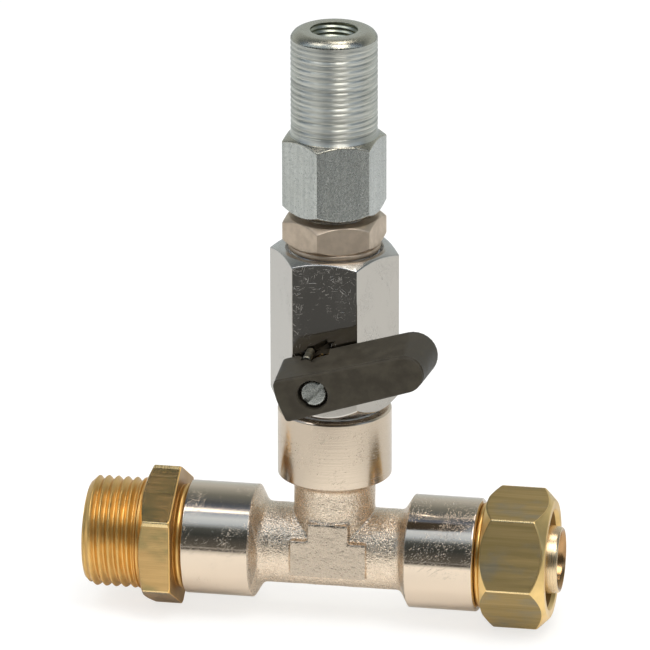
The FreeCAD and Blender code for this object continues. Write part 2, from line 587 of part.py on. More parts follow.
# ---------------------------------------------------------------- top of the branch
def hex_nipple():
    lower = chamfered_rod(BRANCH, NIPPLE_END, HEX_TOP, R_G38 - TAPE, THREAD_CHAMFER, False)
    shoulder = rod(BRANCH, HEX_TOP, NIPPLE_HEX_FOOT, NIPPLE_SHOULDER_R)
    face_r = NIPPLE_AF / 2 - NIPPLE_FACE_INSET
    flats = hex_head(BRANCH, NIPPLE_HEX_FOOT, NIPPLE_HEX_TOP, NIPPLE_AF, (face_r, NIPPLE_HEX_CHAMFER),
                     (face_r, NIPPLE_HEX_CHAMFER), UPPER_HEX_TURN)
    upper = chamfered_rod(BRANCH, NIPPLE_HEX_TOP, NIPPLE_TOP, R_G14 - TAPE, THREAD_CHAMFER, True)
    return bored(fused(lower, shoulder, flats, upper), BRANCH,
                 (NIPPLE_END, NIPPLE_TOP, NIPPLE_BORE_R))


def top_adapter():
    flats = hex_head(BRANCH, ADAPTER_FOOT, ADAPTER_HEX_TOP, ADAPTER_AF,
                     (ADAPTER_FACE_R, ADAPTER_FOOT_CHAMFER),
                     (ADAPTER_FACE_R, ADAPTER_TOP_CHAMFER), UPPER_HEX_TURN)
    crown = ADAPTER_TOP - ADAPTER_CROWN_DROP
    bend = 0.3 * ADAPTER_CROWN_DROP
    column = turned(BRANCH, [(ADAPTER_HEX_TOP, 0), (ADAPTER_HEX_TOP, R_TOP_THREAD), (crown, R_TOP_THREAD),
                             (ADAPTER_TOP - bend, R_TOP_THREAD - bend, ADAPTER_TOP, ADAPTER_CROWN_R),
                             (ADAPTER_TOP, 0)])
    port_floor = ADAPTER_TOP - ADAPTER_PORT_DEPTH
    body = bored(fused(flats, column), BRANCH, (ADAPTER_FOOT, ADAPTER_FOOT + ADAPTER_FOOT_TAP, R_G14),
                 (ADAPTER_FOOT, ADAPTER_TOP, ADAPTER_PASSAGE_R), (port_floor, ADAPTER_TOP, R_G18_MINOR))
    flare = [(ADAPTER_TOP, 0), (ADAPTER_TOP, R_G18_MINOR + ADAPTER_PORT_CHAMFER),
             (ADAPTER_TOP - ADAPTER_PORT_CHAMFER, R_G18_MINOR), (ADAPTER_TOP - ADAPTER_PORT_CHAMFER, 0)]
    return body.cut(turned(BRANCH, flare))


# ---------------------------------------------------------------- thread tape
def tape(line, start, end, thread_r):
    """Tape sleeve between a male thread and the tapped hole around it."""
    return tube(line, start, end, thread_r, thread_r - TAPE)


NODES = {
    "tee_body": tee_body(),
    "inlet_nipple": inlet_nipple(),
    "inlet_thread_tape": tape(RUN, TEE_LEFT, TEE_LEFT + RUN_THREAD_LENGTH - THREAD_CHAMFER, R_G38),
    "coupling_body": coupling_body(),
    "outlet_thread_tape": tape(RUN, TEE_RIGHT - RUN_THREAD_LENGTH + THREAD_CHAMFER, TEE_RIGHT, R_G38),
    "clamp_ring": clamp_ring(),
    "hose_nut": hose_nut(),
    "valve_body": valve_body(),
    "valve_thread_tape": tape(BRANCH, VALVE_THREAD_FOOT + THREAD_CHAMFER, BRANCH_REACH, R_G38),
    "lower_seat": seat(-1),
    "upper_seat": seat(1),
    "seat_retainer": retainer(),
    "retainer_o_ring": retainer_o_ring(),
    "stop_pin": stop_pin(),
    "stem_washer": stem_washer(),
    "stem_o_ring": stem_o_ring(),
    "valve_stem": valve_stem(),
    "valve_ball": valve_ball(),
    "lever": lever(),
    "lever_screw": lever_screw(),
    "hex_nipple": hex_nipple(),
    "nipple_lower_tape": tape(BRANCH, NIPPLE_END + THREAD_CHAMFER, COUNTERSINK_FLOOR, R_G38),
    "nipple_upper_tape": tape(BRANCH, ADAPTER_FOOT, NIPPLE_TOP - THREAD_CHAMFER, R_G14),
    "top_adapter": top_adapter(),
}

os.makedirs("parts", exist_ok=True)
for name, shape in NODES.items():
    shape.exportStep("parts/" + name + ".step")
    box = shape.BoundBox
    print("%-20s solids %d valid %s volume %9.2f  x %.2f %.2f  y %.2f %.2f  z %.2f %.2f" % (
        name, len(shape.Solids), shape.isValid(), shape.Volume, box.XMin, box.XMax, box.YMin, box.YMax,
        box.ZMin, box.ZMax))
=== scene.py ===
import json
import math

import bmesh
import bpy
from mathutils import Matrix, Quaternion, Vector, noise


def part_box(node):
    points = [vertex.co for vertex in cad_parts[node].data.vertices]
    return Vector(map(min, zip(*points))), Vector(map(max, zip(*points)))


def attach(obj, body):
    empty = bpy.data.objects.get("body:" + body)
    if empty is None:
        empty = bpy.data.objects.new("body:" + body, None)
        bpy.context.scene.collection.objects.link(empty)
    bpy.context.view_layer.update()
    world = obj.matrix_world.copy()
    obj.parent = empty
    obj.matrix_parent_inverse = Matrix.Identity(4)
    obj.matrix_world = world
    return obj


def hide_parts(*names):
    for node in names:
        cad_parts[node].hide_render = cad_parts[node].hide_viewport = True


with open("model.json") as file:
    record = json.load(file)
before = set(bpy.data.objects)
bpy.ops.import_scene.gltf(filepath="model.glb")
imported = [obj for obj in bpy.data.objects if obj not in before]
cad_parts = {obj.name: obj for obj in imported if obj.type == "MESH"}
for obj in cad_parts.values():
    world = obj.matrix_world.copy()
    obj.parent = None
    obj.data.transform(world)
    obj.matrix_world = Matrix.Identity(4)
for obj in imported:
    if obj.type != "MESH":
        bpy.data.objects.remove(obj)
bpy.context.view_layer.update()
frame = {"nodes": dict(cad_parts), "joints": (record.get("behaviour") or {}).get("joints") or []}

# Looks of the tee assembly. Lengths are in millimetres, and MM turns them into metres.
MM = 0.001


# ---------------------------------------------------------------- places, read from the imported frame
def extent(node):
    """Lowest and highest corner of a CAD node, in millimetres."""
    low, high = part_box(node)
    return low / MM, high / MM


tee_low, tee_high = extent("tee_body")
TEE_X = (tee_low.x + tee_high.x) / 2
RUN_REACH = (tee_high.x - tee_low.x) / 2
BRANCH_REACH = tee_high.z
STEM_Z = next(j for j in frame["joints"] if j["name"] == "lever_turn")["pos_m"][2] / MM
INLET_START = extent("inlet_nipple")[0].x
NOZZLE_TIP = extent("coupling_body")[1].x
NUT_START, NUT_END = (corner.x for corner in extent("hose_nut"))
HEX_TOP = extent("valve_body")[1].z
ADAPTER_FOOT, ADAPTER_TOP = (corner.z for corner in extent("top_adapter"))
NIPPLE_END = extent("hex_nipple")[0].z
LEVER_FRONT, LEVER_BACK = (-corner.y for corner in extent("lever"))

# ---------------------------------------------------------------- sizes of the details
# Tee
TEE_SOCKET_R = (tee_high.y - tee_low.y) / 2
TEE_NECK_R = 7.6
TEE_BORE_R = 5.5
TEE_TAP_R = 8.331
TAP_DEPTH = 11.0
RUN_SOCKET = 14.8                       # start of the run's sockets, from the tee's centre
BRANCH_SOCKET = 15.05
CONE_LENGTH = 1.75                      # cone between a neck and its socket
PAD_FACE = 8.1
PAD_BAR = (7.15, 3.5)                   # half width and half height of the inverted T's bar
PAD_STEM = (3.85, 7.1)                  # half width and top of its stem
PAD_ZONE = (6.6, 7.9, -4.3, 7.9)        # softened by the die: depth, half width, bottom and top
FORGING_VOXEL = 0.2

# Hexagons: across flats, and radius of the sharp corner
HEX_AF = {"inlet": 24.0, "nut": 23.0, "valve": 21.0, "upper": 17.0}
HEX_CORNER = {name: across / math.sqrt(3) for name, across in HEX_AF.items()}
EDGE_BAND = 0.1                         # burnished strip of a corner, lighter as a painted highlight line, measured down from the sharp corner
NUT_TURN = math.radians(68.0)
UPPER_TURN = math.radians(21.4)         # of the nipple and the adapter

# Threads: crest radius of male ones, least radius of the port's, and pitch
G12_MALE_R, G38_MALE_R, G14_MALE_R = 10.4, 8.13, 6.37
G18_TAP_R = 4.29
G12_PITCH, G38_PITCH, G14_PITCH, G18_PITCH = 1.814, 1.337, 1.337, 0.907
TOP_THREAD_R, TOP_PITCH = 8.0, 1.0
COUPLING_THREAD_R, NUT_THREAD_R, NUT_PITCH = 9.7, 9.75, 1.5
SCREW_IN = 10.0                         # length of the run's threads inside the tee
VALVE_SCREW_IN = 9.5

# Pieces on the run
INLET_HEX = (0.8, 7.2)
UNDERCUT_R = 9.9
COLLAR_R, COLLAR_EDGE_R = 9.9, 9.6
COLLAR_WIDTH = 1.15
NOZZLE_R, NOZZLE_TIP_R, NOZZLE_BORE_R = 6.6, 6.2, 4.8

# Pieces on the branch
VALVE_FOOT = BRANCH_REACH + 1.15
VALVE_TAP_R, VALVE_TAP_DEPTH = 8.33, 10.2
VALVE_PASSAGE_R = 4.0
STEM_HOLE_R = 3.05
NIPPLE_HEX = (HEX_TOP + 0.95, HEX_TOP + 6.2)
NIPPLE_TOP = NIPPLE_HEX[1] + 9.0
NIPPLE_PASSAGE_R = 3.5
ADAPTER_HEX_TOP = ADAPTER_FOOT + 14.55
ADAPTER_TAP_R, ADAPTER_TAP_END = 6.58, ADAPTER_FOOT + 10.0
ADAPTER_PASSAGE_R = 3.0

# Lever and screw. Distances along the stem are measured from the valve's axis.
LEVER_ANGLE = math.radians(16.3)
LEVER_ARM = 17.65
LEVER_FRONT_FACE = (4.0, 3.4, 6.95)     # half height at the tail, radius of the round end, tail's reach
LEVER_BACK_FACE = (4.45, 4.4, 7.1)
LEVER_EDGE = 0.45                       # rounding of the front face's edge
LEVER_CREASE = [(0.75, 0.0), (0.5, 0.27), (0.3, 0.27), (0.06, 0.02)]    # place behind that edge, depth
LEVER_WALL = 2.5                        # front wall over the arm's hollow
HOLLOW_START, HOLLOW_HALF = 5.6, 2.3    # distance from the stem, half height
RIB_HALF = 0.6
HUB_FLOOR, HUB_R = 18.1, 3.1            # hole for the stem
GROOVE_R, GROOVE_DEPTH = (3.3, 5.1), 3.0
GROOVE_SECTOR = (32, 148)               # degrees
STOP_NOTCH = (-3.9, 2.1, (0.4, 5.8))    # left and right at the lever's back, and the V's apex
NOTCH_HEIGHT = 4.4
SCREW_TIP, SCREW_SEAT, SCREW_TOP = 12.2, 20.2, 22.1
SCREW_SHANK_R, SCREW_HEAD_R, RECESS_R = 1.5, 2.45, 2.8
SCREW_TURN = math.radians(46.0)
SLOT_HALF, SLOT_DEPTH = 0.5, 0.95


# ---------------------------------------------------------------- mesh code
class Line:
    """An axis with a side direction. Turns are right-handed about the axis, from the side direction."""

    def __init__(self, origin, axis, side):
        self.origin, self.axis, self.side = Vector(origin), Vector(axis), Vector(side)
        self.third = self.axis.cross(self.side)

    def point(self, along, out, turn):
        radial = self.side * math.cos(turn) + self.third * math.sin(turn)
        return (self.origin + self.axis * along + radial * out) * MM


RUN = Line((0, 0, 0), (1, 0, 0), (0, 0, 1))
BRANCH = Line((TEE_X, 0, 0), (0, 0, 1), (0, -1, 0))
STEM = Line((TEE_X, 0, STEM_Z), (0, -1, 0), (0, 0, 1))


def round_columns(count=144):
    """Directions round a circle, in the form that lathe reads."""
    return [(2 * math.pi * k / count, None) for k in range(count)]


def hex_columns(across_flats, turn=0.0, corner_radius=0.35, on_flat=22, on_corner=4):
    """Directions round a hexagon with eased corners, and the hexagon's radius in each."""
    half = across_flats / 2
    flat_half = half * math.tan(math.pi / 6) - corner_radius * math.tan(math.pi / 6)
    corner_centre = (half - corner_radius) / math.cos(math.pi / 6)
    columns = []
    for side in range(6):
        base = turn + side * math.pi / 3
        for k in range(on_flat):
            across = flat_half * (2 * k / on_flat - 1)
            columns.append((base + math.atan2(across, half), math.hypot(across, half)))
        for k in range(on_corner):
            swing = math.pi / 3 * k / on_corner - math.pi / 6
            x = corner_centre + corner_radius * math.cos(swing)
            y = corner_radius * math.sin(swing)
            columns.append((base + math.pi / 6 + math.atan2(y, x), math.hypot(x, y)))
    return columns


def eased(points, steps=3):
    """Rounds the corners of a closed outline. A point is (along, out, ease, look); ease 0 keeps it sharp."""
    result = []
    for k, (along, out, ease, look) in enumerate(points):
        if ease == 0:
            result.append((along, out, look))
            continue
        here = Vector((along, out))
        before = Vector(points[k - 1][:2]) - here
        after = Vector(points[(k + 1) % len(points)][:2]) - here
        reach = [min(ease, 0.45 * leg.length) for leg in (before, after)]
        start = here + before.normalized() * reach[0] if before.length > 0 else here
        end = here + after.normalized() * reach[1] if after.length > 0 else here
        for step in range(steps + 1):
            s = step / steps
            spot = start * (1 - s) ** 2 + here * 2 * s * (1 - s) + end * s ** 2
            result.append((spot.x, spot.y, look))
    return result


def add(name, data):
    """A new object in the scene."""
    made = bpy.data.objects.new(name, data)
    bpy.context.scene.collection.objects.link(made)
    return made


def finish_mesh(mesh_object, looks, body, sharp=None):
    """Materials, smooth shading with face-weighted normals, and the body that the piece rides on."""
    mesh = mesh_object.data
    for look in looks:
        mesh.materials.append(look)
    for polygon in mesh.polygons:
        polygon.use_smooth = True
    if sharp is not None:
        mesh.set_sharp_from_angle(angle=math.radians(sharp))
    weighted = mesh_object.modifiers.new("weighted_normals", "WEIGHTED_NORMAL")
    weighted.keep_sharp = sharp is not None
    weighted.weight = 100
    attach(mesh_object, body)


def object_from(name, bm):
    """Cleans a bmesh and links it as an object."""
    bmesh.ops.remove_doubles(bm, verts=bm.verts, dist=2e-7)
    bmesh.ops.dissolve_degenerate(bm, edges=bm.edges, dist=1e-7)
    bmesh.ops.recalc_face_normals(bm, faces=bm.faces)
    mesh = bpy.data.meshes.new(name)
    bm.to_mesh(mesh)
    bm.free()
    return add(name, mesh)


def lathe(name, line, columns, outline):
    """Closed surface swept round a line. outline(turn, hex_radius) gives equally many points each time."""
    bm = bmesh.new()
    rows = [outline(turn, radius) for turn, radius in columns]
    rings = [[bm.verts.new(line.point(along, out, turn)) for along, out, _ in row]
             for (turn, _), row in zip(columns, rows)]
    count = len(rows[0])
    for i, ring in enumerate(rings):
        following = rings[(i + 1) % len(rings)]
        for j in range(count):
            k = (j + 1) % count
            face = bm.faces.new((ring[j], following[j], following[k], ring[k]))
            face.material_index = rows[i][j][2]
    return object_from(name, bm)


def smooth(value):
    """Eases 0 to 1, and holds at both ends."""
    value = min(1.0, max(0.0, value))
    return value * value * (3 - 2 * value)


def thread(start, end, major, depth, pitch, turn, look, per_pitch=12, start_cone=0.0, end_fade=0.0,
           inside=False, roughness=0.0, groove_share=1.0):
    """Rows of a helical thread between two places, in the direction from start to end.

    start_cone is the height of the chamfer at the start. The groove takes groove_share of the pitch and
    fades out over end_fade before the end.
    """
    sign = 1 if end > start else -1
    rows = max(4, round(abs(end - start) / pitch * per_pitch))
    points = []
    for k in range(rows + 1):
        along = start + (end - start) * k / rows
        phase = ((along - pitch * turn / (2 * math.pi)) / pitch) % 1.0
        ramp = min(1.0, abs(2 * phase - 1) / groove_share)
        crest = 0.5 * ramp + 0.5 * (0.5 - 0.5 * math.cos(math.pi * ramp))
        groove = depth * (1 - crest)
        if roughness:
            groove *= 1 + roughness * noise.noise(Vector((along * 0.9, math.cos(turn), math.sin(turn))))
        if end_fade:
            groove *= smooth((end - along) * sign / end_fade)
        out = major + groove if inside else major - groove
        if start_cone:
            out = min(out, major - start_cone + (along - start) * sign)
        points.append((along, out, 0, look))
    return points


def hex_band(start, end, low, high, radius, looks, ease=0.22):
    """Hex length with its corners turned off. low and high are (face radius, axial chamfer, corner radius).

    looks are those of the chamfers, the flats and, where there is a third, the burnished corners, lighter as
    a painted highlight line.
    """
    face_look, flat_look = looks[:2]
    if len(looks) == 3 and radius > low[2] - EDGE_BAND:
        flat_look = looks[2]

    def cut(face_r, chamfer, corner):
        return max(0.0, radius - face_r) * chamfer / (corner - face_r)

    return [(start, min(low[0], radius), ease, face_look),
            (start + cut(*low), radius, ease, flat_look),
            (end - cut(*high), radius, ease, face_look),
            (end, min(high[0], radius), ease, face_look)]


def combine(operation, target, *others):
    """Boolean of a mesh with other meshes, applied; the others are then removed."""
    for other in others:
        modifier = target.modifiers.new("combine", "BOOLEAN")
        modifier.operation = operation
        modifier.solver = "EXACT"
        modifier.object = other
    settle(target)
    for other in others:
        bpy.data.objects.remove(other)


def settle(target):
    """Applies an object's modifiers to its mesh."""
    bpy.context.view_layer.update()
    graph = bpy.context.evaluated_depsgraph_get()
    mesh = bpy.data.meshes.new_from_object(target.evaluated_get(graph))
    target.modifiers.clear()
    target.data = mesh


def rod(name, line, start, end, radius, count=96):
    """Solid cylinder along a line."""
    return lathe(name, line, round_columns(count),
                 lambda turn, _: [(start, 0, 0), (start, radius, 0), (end, radius, 0), (end, 0, 0)])


def bridge(bm, lower, upper):
    """Faces between two closed rings of the same number of points."""
    for k in range(len(lower)):
        n = (k + 1) % len(lower)
        bm.faces.new((lower[k], lower[n], upper[n], upper[k]))


def prism(name, corners, run):
    """Solid between a flat outline and its copy moved by run, in millimetres."""
    bm = bmesh.new()
    near = [bm.verts.new(Vector(corner) * MM) for corner in corners]
    far = [bm.verts.new((Vector(corner) + Vector(run)) * MM) for corner in corners]
    bm.faces.new(near)
    bm.faces.new(far)
    bridge(bm, near, far)
    return object_from(name, bm)


def block(name, low, high):
    """Axis-aligned box between two corners, in millimetres."""
    bm = bmesh.new()
    bmesh.ops.create_cube(bm, size=1)
    low, high = Vector(low), Vector(high)
    size = high - low
    for vertex in bm.verts:
        vertex.co = Vector((low[k] + (vertex.co[k] + 0.5) * size[k] for k in range(3))) * MM
    return object_from(name, bm)


# ---------------------------------------------------------------- materials
class Graph:
    """Nodes of one shader tree. Inputs take numbers, colours or the outputs of other nodes."""

    def __init__(self, tree):
        self.tree = tree

    def connect(self, socket, value):
        if isinstance(value, bpy.types.NodeSocket):
            self.tree.links.new(value, socket)
        else:
            socket.default_value = value

    def node(self, kind, inputs, output=0, **settings):
        made = self.tree.nodes.new("ShaderNode" + kind)
        for key, value in settings.items():
            setattr(made, key, value)
        for key, value in inputs.items():
            self.connect(made.inputs[key], value)
        return made.outputs[output]

    def span(self, value, low, high, to_low=0.0, to_high=1.0):
        return self.node("MapRange", {0: value, 1: low, 2: high, 3: to_low, 4: to_high},
                         interpolation_type="SMOOTHSTEP")

    def math(self, operation, a, b=0.0):
        return self.node("Math", {0: a, 1: b}, operation=operation)

    def part(self, vector, index):
        return self.node("SeparateXYZ", {0: vector}, output=index)


class Look(Graph):
    """A procedural material on one principled shader. Coordinates are the part's own, in millimetres."""

    def __init__(self, name, **sockets):
        self.material = bpy.data.materials.new(name)
        self.material.use_nodes = True
        super().__init__(self.material.node_tree)
        self.shader = self.tree.nodes["Principled BSDF"]
        for key, value in sockets.items():
            self.set(key.replace("_", " "), value)

    def set(self, key, value):
        self.connect(self.shader.inputs[key], value)

    def spot(self):
        return self.node("TexCoord", {}, output="Object")

    def place(self, scale, turn):
        """Object coordinates turned by degrees, then stretched: scale is cycles per millimetre."""
        spot = self.spot()
        if any(turn):
            angles = [math.radians(a) for a in turn]
            spot = self.node("VectorRotate", {"Vector": spot, "Rotation": angles}, rotation_type="EULER_XYZ")
        return self.node("VectorMath", {0: spot, 1: [s / MM for s in scale]}, operation="MULTIPLY")

    def noise(self, scale, turn=(0, 0, 0), detail=3.0, rough=0.55):
        return self.node("TexNoise", {"Vector": self.place(scale, turn), "Scale": 1.0, "Detail": detail,
                                      "Roughness": rough})

    def blend(self, factor, a, b):
        pair = [v if isinstance(v, bpy.types.NodeSocket) else (*v, 1) for v in (a, b)]
        return self.node("Mix", {0: factor, 6: pair[0], 7: pair[1]}, output=2, data_type="RGBA")

    def bump(self, height, depth, below=None):
        inputs = {"Height": height, "Distance": depth * MM, "Strength": 1.0}
        if below is not None:
            inputs["Normal"] = below
        return self.node("Bump", inputs)

    def scratches(self, turns, density, length=0.18, fine=5.0):
        """Short random scuffs in several directions, as a mask."""
        total = None
        for turn in turns:
            lines = self.noise((length, fine, fine), turn, detail=1.0)
            mask = self.span(lines, density, density + 0.05)
            total = mask if total is None else self.math("MAXIMUM", total, mask)
        return total


def forged_nickel():
    """Sand-textured skin, with the die-struck face of the pad nearly flat and painted darker: painted shade,
    for the darker reflection that face shows.
    """
    look = Look("forged_nickel", Metallic=1.0)
    sand = look.noise((3.4, 3.4, 3.4), detail=1.0, rough=0.5)
    fine = look.noise((7.0, 7.0, 7.0), detail=1.0)
    coarse = look.noise((0.8, 0.8, 0.8), detail=2.0)
    look.set("Roughness", look.span(sand, 0.3, 0.75, 0.22, 0.34))
    relief_and_pad_shade = look.span(look.part(look.spot(), 1), -0.99 * PAD_FACE * MM, -0.97 * PAD_FACE * MM, 0.5, 1.0)
    tint = look.blend(look.span(coarse, 0.3, 0.7), (0.76, 0.61, 0.46), (0.83, 0.68, 0.52))
    # The pad's face takes the darker colour: painted shade, standing in for its darker reflection.
    look.set("Base Color", look.blend(look.span(relief_and_pad_shade, 0.5, 1.0), (0.55, 0.45, 0.345), tint))
    sand = look.math("MULTIPLY", sand, relief_and_pad_shade)
    fine = look.math("MULTIPLY", fine, relief_and_pad_shade)
    look.set("Normal", look.bump(fine, 0.035, look.bump(sand, 0.15, look.bump(coarse, 0.1))))
    return look.material


def polished_nickel(name, around, roughness=0.1):
    """Turned and polished nickel plate; around is the axis that the tool marks run round."""
    look = Look(name, Base_Color=(0.725, 0.59, 0.45, 1), Metallic=1.0)
    across = [0.02, 0.02, 0.02]
    across[around] = 4.0
    marks = look.noise(across, detail=4.0, rough=0.7)
    scuffs = look.scratches([(20, 35, 10), (75, 10, 60), (130, 50, 25)], density=0.66)
    wear = look.span(look.noise((0.16, 0.16, 0.16), detail=3.0), 0.45, 0.7)
    scuffs = look.math("MULTIPLY", scuffs, wear)
    base = look.span(marks, 0.3, 0.7, roughness * 0.7, roughness * 1.4)
    look.set("Roughness", look.math("ADD", base, look.math("MULTIPLY", scuffs, 0.2)))
    look.set("Normal", look.bump(scuffs, 0.02, look.bump(marks, 0.006)))
    return look.material


def chrome():
    """Bright plate with short scratches in the plane of the faces."""
    look = Look("chrome_plate", Base_Color=(0.565, 0.52, 0.46, 1), Metallic=1.0)
    turns = [(0, 30, 0), (0, -40, 0), (0, 78, 0), (0, 5, 0)]
    scuffs = look.scratches(turns, density=0.68, length=0.4, fine=6.0)
    cloud = look.noise((0.25, 0.25, 0.12), detail=4.0)
    wear = look.math("MULTIPLY", scuffs, look.span(cloud, 0.4, 0.65))
    haze = look.span(cloud, 0.35, 0.75, 0.05, 0.16)
    look.set("Roughness", look.math("ADD", haze, look.math("MULTIPLY", wear, 0.35)))
    look.set("Normal", look.bump(wear, 0.025, look.bump(cloud, 0.02)))
    return look.material


def brass_turned(name, colour=(0.82, 0.505, 0.17), roughness=0.3):
    """Turned brass with tool marks round the run's axis and soft stains."""
    look = Look(name, Metallic=1.0)
    marks = look.noise((6.0, 0.03, 0.03), detail=4.0, rough=0.7)
    stain = look.noise((0.25, 0.25, 0.25), detail=3.0)
    dull = tuple(c * 0.85 for c in colour)
    look.set("Base Color", look.blend(look.span(stain, 0.35, 0.7), colour, dull))
    look.set("Roughness", look.span(marks, 0.3, 0.75, roughness * 0.85, roughness * 1.25))
    look.set("Normal", look.bump(marks, 0.008))
    return look.material


def brass_drawn(name, light, dark, tarnish, roughness):
    """Drawn hexagon bar: fine lines along the run, with tarnish in soft patches."""
    look = Look(name, Metallic=1.0, Anisotropic=0.7)
    look.set("Tangent", look.node("Tangent", {}, direction_type="RADIAL", axis="X"))
    lines = look.noise((0.05, 5.0, 5.0), detail=5.0, rough=0.7)
    broad = look.noise((0.04, 0.9, 0.9), detail=2.0)
    patches = look.noise((0.12, 0.2, 0.2), detail=3.0)
    base = look.blend(look.span(broad, 0.3, 0.7), light, dark)
    base = look.blend(look.span(patches, 0.45, 0.72), base, tarnish)
    look.set("Base Color", base)
    look.set("Roughness", look.span(lines, 0.3, 0.75, roughness * 0.8, roughness * 1.3))
    look.set("Normal", look.bump(lines, 0.02))
    return look.material


def satin_nickel():
    """Cloudy plate that neither mirrors nor shows tool marks."""
    look = Look("satin_nickel", Metallic=1.0)
    cloud = look.noise((0.5, 0.5, 0.5), detail=4.0)
    grain = look.noise((5, 5, 5), detail=3.0)
    tint = look.blend(look.span(cloud, 0.3, 0.7), (0.67, 0.54, 0.41), (0.58, 0.465, 0.35))
    look.set("Base Color", tint)
    look.set("Roughness", look.span(cloud, 0.3, 0.75, 0.42, 0.54))
    look.set("Normal", look.bump(grain, 0.012))
    return look.material


def zinc_thread():
    """Rolled fine thread: many thin lines run round it, painted lighter where they stand out and darker
    where they sink, as painted highlight and shade.
    """
    look = Look("zinc_thread", Metallic=1.0, Anisotropic=0.9, Anisotropic_Rotation=0.25)
    look.set("Tangent", look.node("Tangent", {}, direction_type="RADIAL", axis="Z"))
    lines = look.noise((0.05, 0.05, 2.6), detail=3.0, rough=0.6)
    grain = look.noise((2.0, 2.0, 4.0), detail=3.0)
    # Ring colour follows the rings' bump: painted highlight on the raised ones, painted shade in the sunk
    # ones.
    tint = look.blend(look.span(lines, 0.35, 0.6), (0.49, 0.48, 0.42), (0.76, 0.74, 0.65))
    look.set("Base Color", tint)
    look.set("Roughness", look.span(grain, 0.3, 0.75, 0.38, 0.46))
    look.set("Normal", look.bump(grain, 0.010, look.bump(lines, 0.05)))
    return look.material


def zinc_plate(name, speckle, hue=(1.0, 1.0, 1.0)):
    """Zinc plate with crystal flecks and faint drawn streaks; speckle is how strong they are."""
    light, dark, plain, streak = (tuple(c * h for c, h in zip(colour, hue)) for colour in (
        (0.60, 0.60, 0.55), (0.44, 0.445, 0.41), (0.53, 0.53, 0.48), (0.36, 0.365, 0.34)))
    look = Look(name, Metallic=1.0)
    grain = look.noise((2.1, 2.1, 2.1), detail=4.0, rough=0.7)
    drawn = look.noise((1.1, 1.1, 0.04), detail=3.0)
    cloud = look.noise((0.3, 0.3, 0.3), detail=3.0)
    flecks = look.blend(look.span(grain, 0.45, 0.62), light, dark)
    tint = look.blend(look.math("MULTIPLY", look.span(cloud, 0.3, 0.7), speckle), plain, flecks)
    streaks = look.span(drawn, 0.35, 0.65, 0.0, 0.15 + 0.27 * speckle)
    look.set("Base Color", look.blend(streaks, tint, streak))
    look.set("Roughness", look.span(grain, 0.3, 0.75, 0.18, 0.36))
    look.set("Normal", look.bump(grain, 0.02 + 0.045 * speckle))
    return look.material


def black_plastic():
    """Moulded plastic with a fine grain and a little dust."""
    look = Look("black_plastic", Specular_IOR_Level=0.12)
    grain = look.noise((4, 4, 4), detail=3.0)
    cloud = look.noise((0.35, 0.35, 0.35), detail=3.0)
    dust = look.span(look.noise((1.6, 1.6, 1.6), detail=4.0, rough=0.7), 0.68, 0.76)
    tint = look.blend(look.span(cloud, 0.35, 0.7), (0.040, 0.033, 0.023), (0.055, 0.046, 0.032))
    look.set("Base Color", look.blend(look.math("MULTIPLY", dust, 0.2), tint, (0.16, 0.14, 0.12)))
    look.set("Roughness", look.span(cloud, 0.3, 0.7, 0.38, 0.5))
    look.set("Normal", look.bump(grain, 0.010, look.bump(cloud, 0.03)))
    return look.material


def plain_look(name, colour, roughness, metallic=0.0):
    """One colour, slightly clouded."""
    look = Look(name, Metallic=metallic, Roughness=roughness)
    cloud = look.noise((1.2, 1.2, 1.2), detail=4.0)
    look.set("Base Color", look.blend(cloud, tuple(c * 0.85 for c in colour), colour))
    look.set("Normal", look.bump(cloud, 0.01))
    return look.material


FORGED = forged_nickel()
POLISHED_RUN = polished_nickel("polished_nickel_run", 0)
POLISHED_BRANCH = polished_nickel("polished_nickel_branch", 2, roughness=0.2)
CHROME = chrome()
CHROME_TURNED = plain_look("chrome_turned", (0.60, 0.56, 0.51), 0.25, 1.0)
BRASS = brass_turned("turned_brass")
INLET_BRASS = brass_turned("inlet_brass", roughness=0.38)
# Darker brass for the inlet hexagon's face towards the tee: painted shade.
HEX_SIDE_SHADE = brass_turned("hex_side_brass_shade", (0.48, 0.29, 0.11), roughness=0.42)
# Dark brass inside bores and the nut's mouth: painted shade.
BRASS_BORE_SHADE = plain_look("brass_bore_shade", (0.28, 0.155, 0.045), 0.45, 1.0)
NOZZLE_BRASS = brass_turned("nozzle_brass", (0.84, 0.63, 0.38), roughness=0.28)
# Darker brass inside the nozzle: painted shade in its mouth and bore.
NOZZLE_BORE = brass_turned("nozzle_bore_shade", (0.54, 0.31, 0.14), roughness=0.22)
NUT_GOLD = brass_turned("nut_chamfer_brass", (0.90, 0.62, 0.25), roughness=0.34)
INLET_FLATS = brass_drawn("inlet_flats", (0.58, 0.37, 0.15), (0.48, 0.30, 0.12), (0.31, 0.235, 0.10), 0.22)
# Light brass on the hexagons' corners: real burnish and a painted highlight line.
BURNISHED_HIGHLIGHT = brass_turned("burnished_edges_highlight", (0.88, 0.65, 0.32), roughness=0.28)
NUT_FLATS = brass_drawn("nut_flats", (0.44, 0.31, 0.13), (0.35, 0.25, 0.10), (0.31, 0.26, 0.165), 0.5)
SATIN_NICKEL = satin_nickel()
ZINC = zinc_plate("zinc_plate", 0.2, (0.92, 0.85, 0.745))
ZINC_FLATS = zinc_plate("zinc_plate_flats", 1.0)
ZINC_THREAD = zinc_thread()
ZINC_BORE = plain_look("zinc_bore", (0.52, 0.52, 0.41), 0.35, 1.0)
ZINC_DULL = plain_look("zinc_dull", (0.30, 0.27, 0.20), 0.5, 1.0)
PLASTIC = black_plastic()
SCREW_ZINC = zinc_plate("screw_zinc", 0.25)
PTFE = plain_look("ptfe", (0.80, 0.80, 0.78), 0.45)
RUBBER = plain_look("rubber", (0.02, 0.02, 0.02), 0.6)


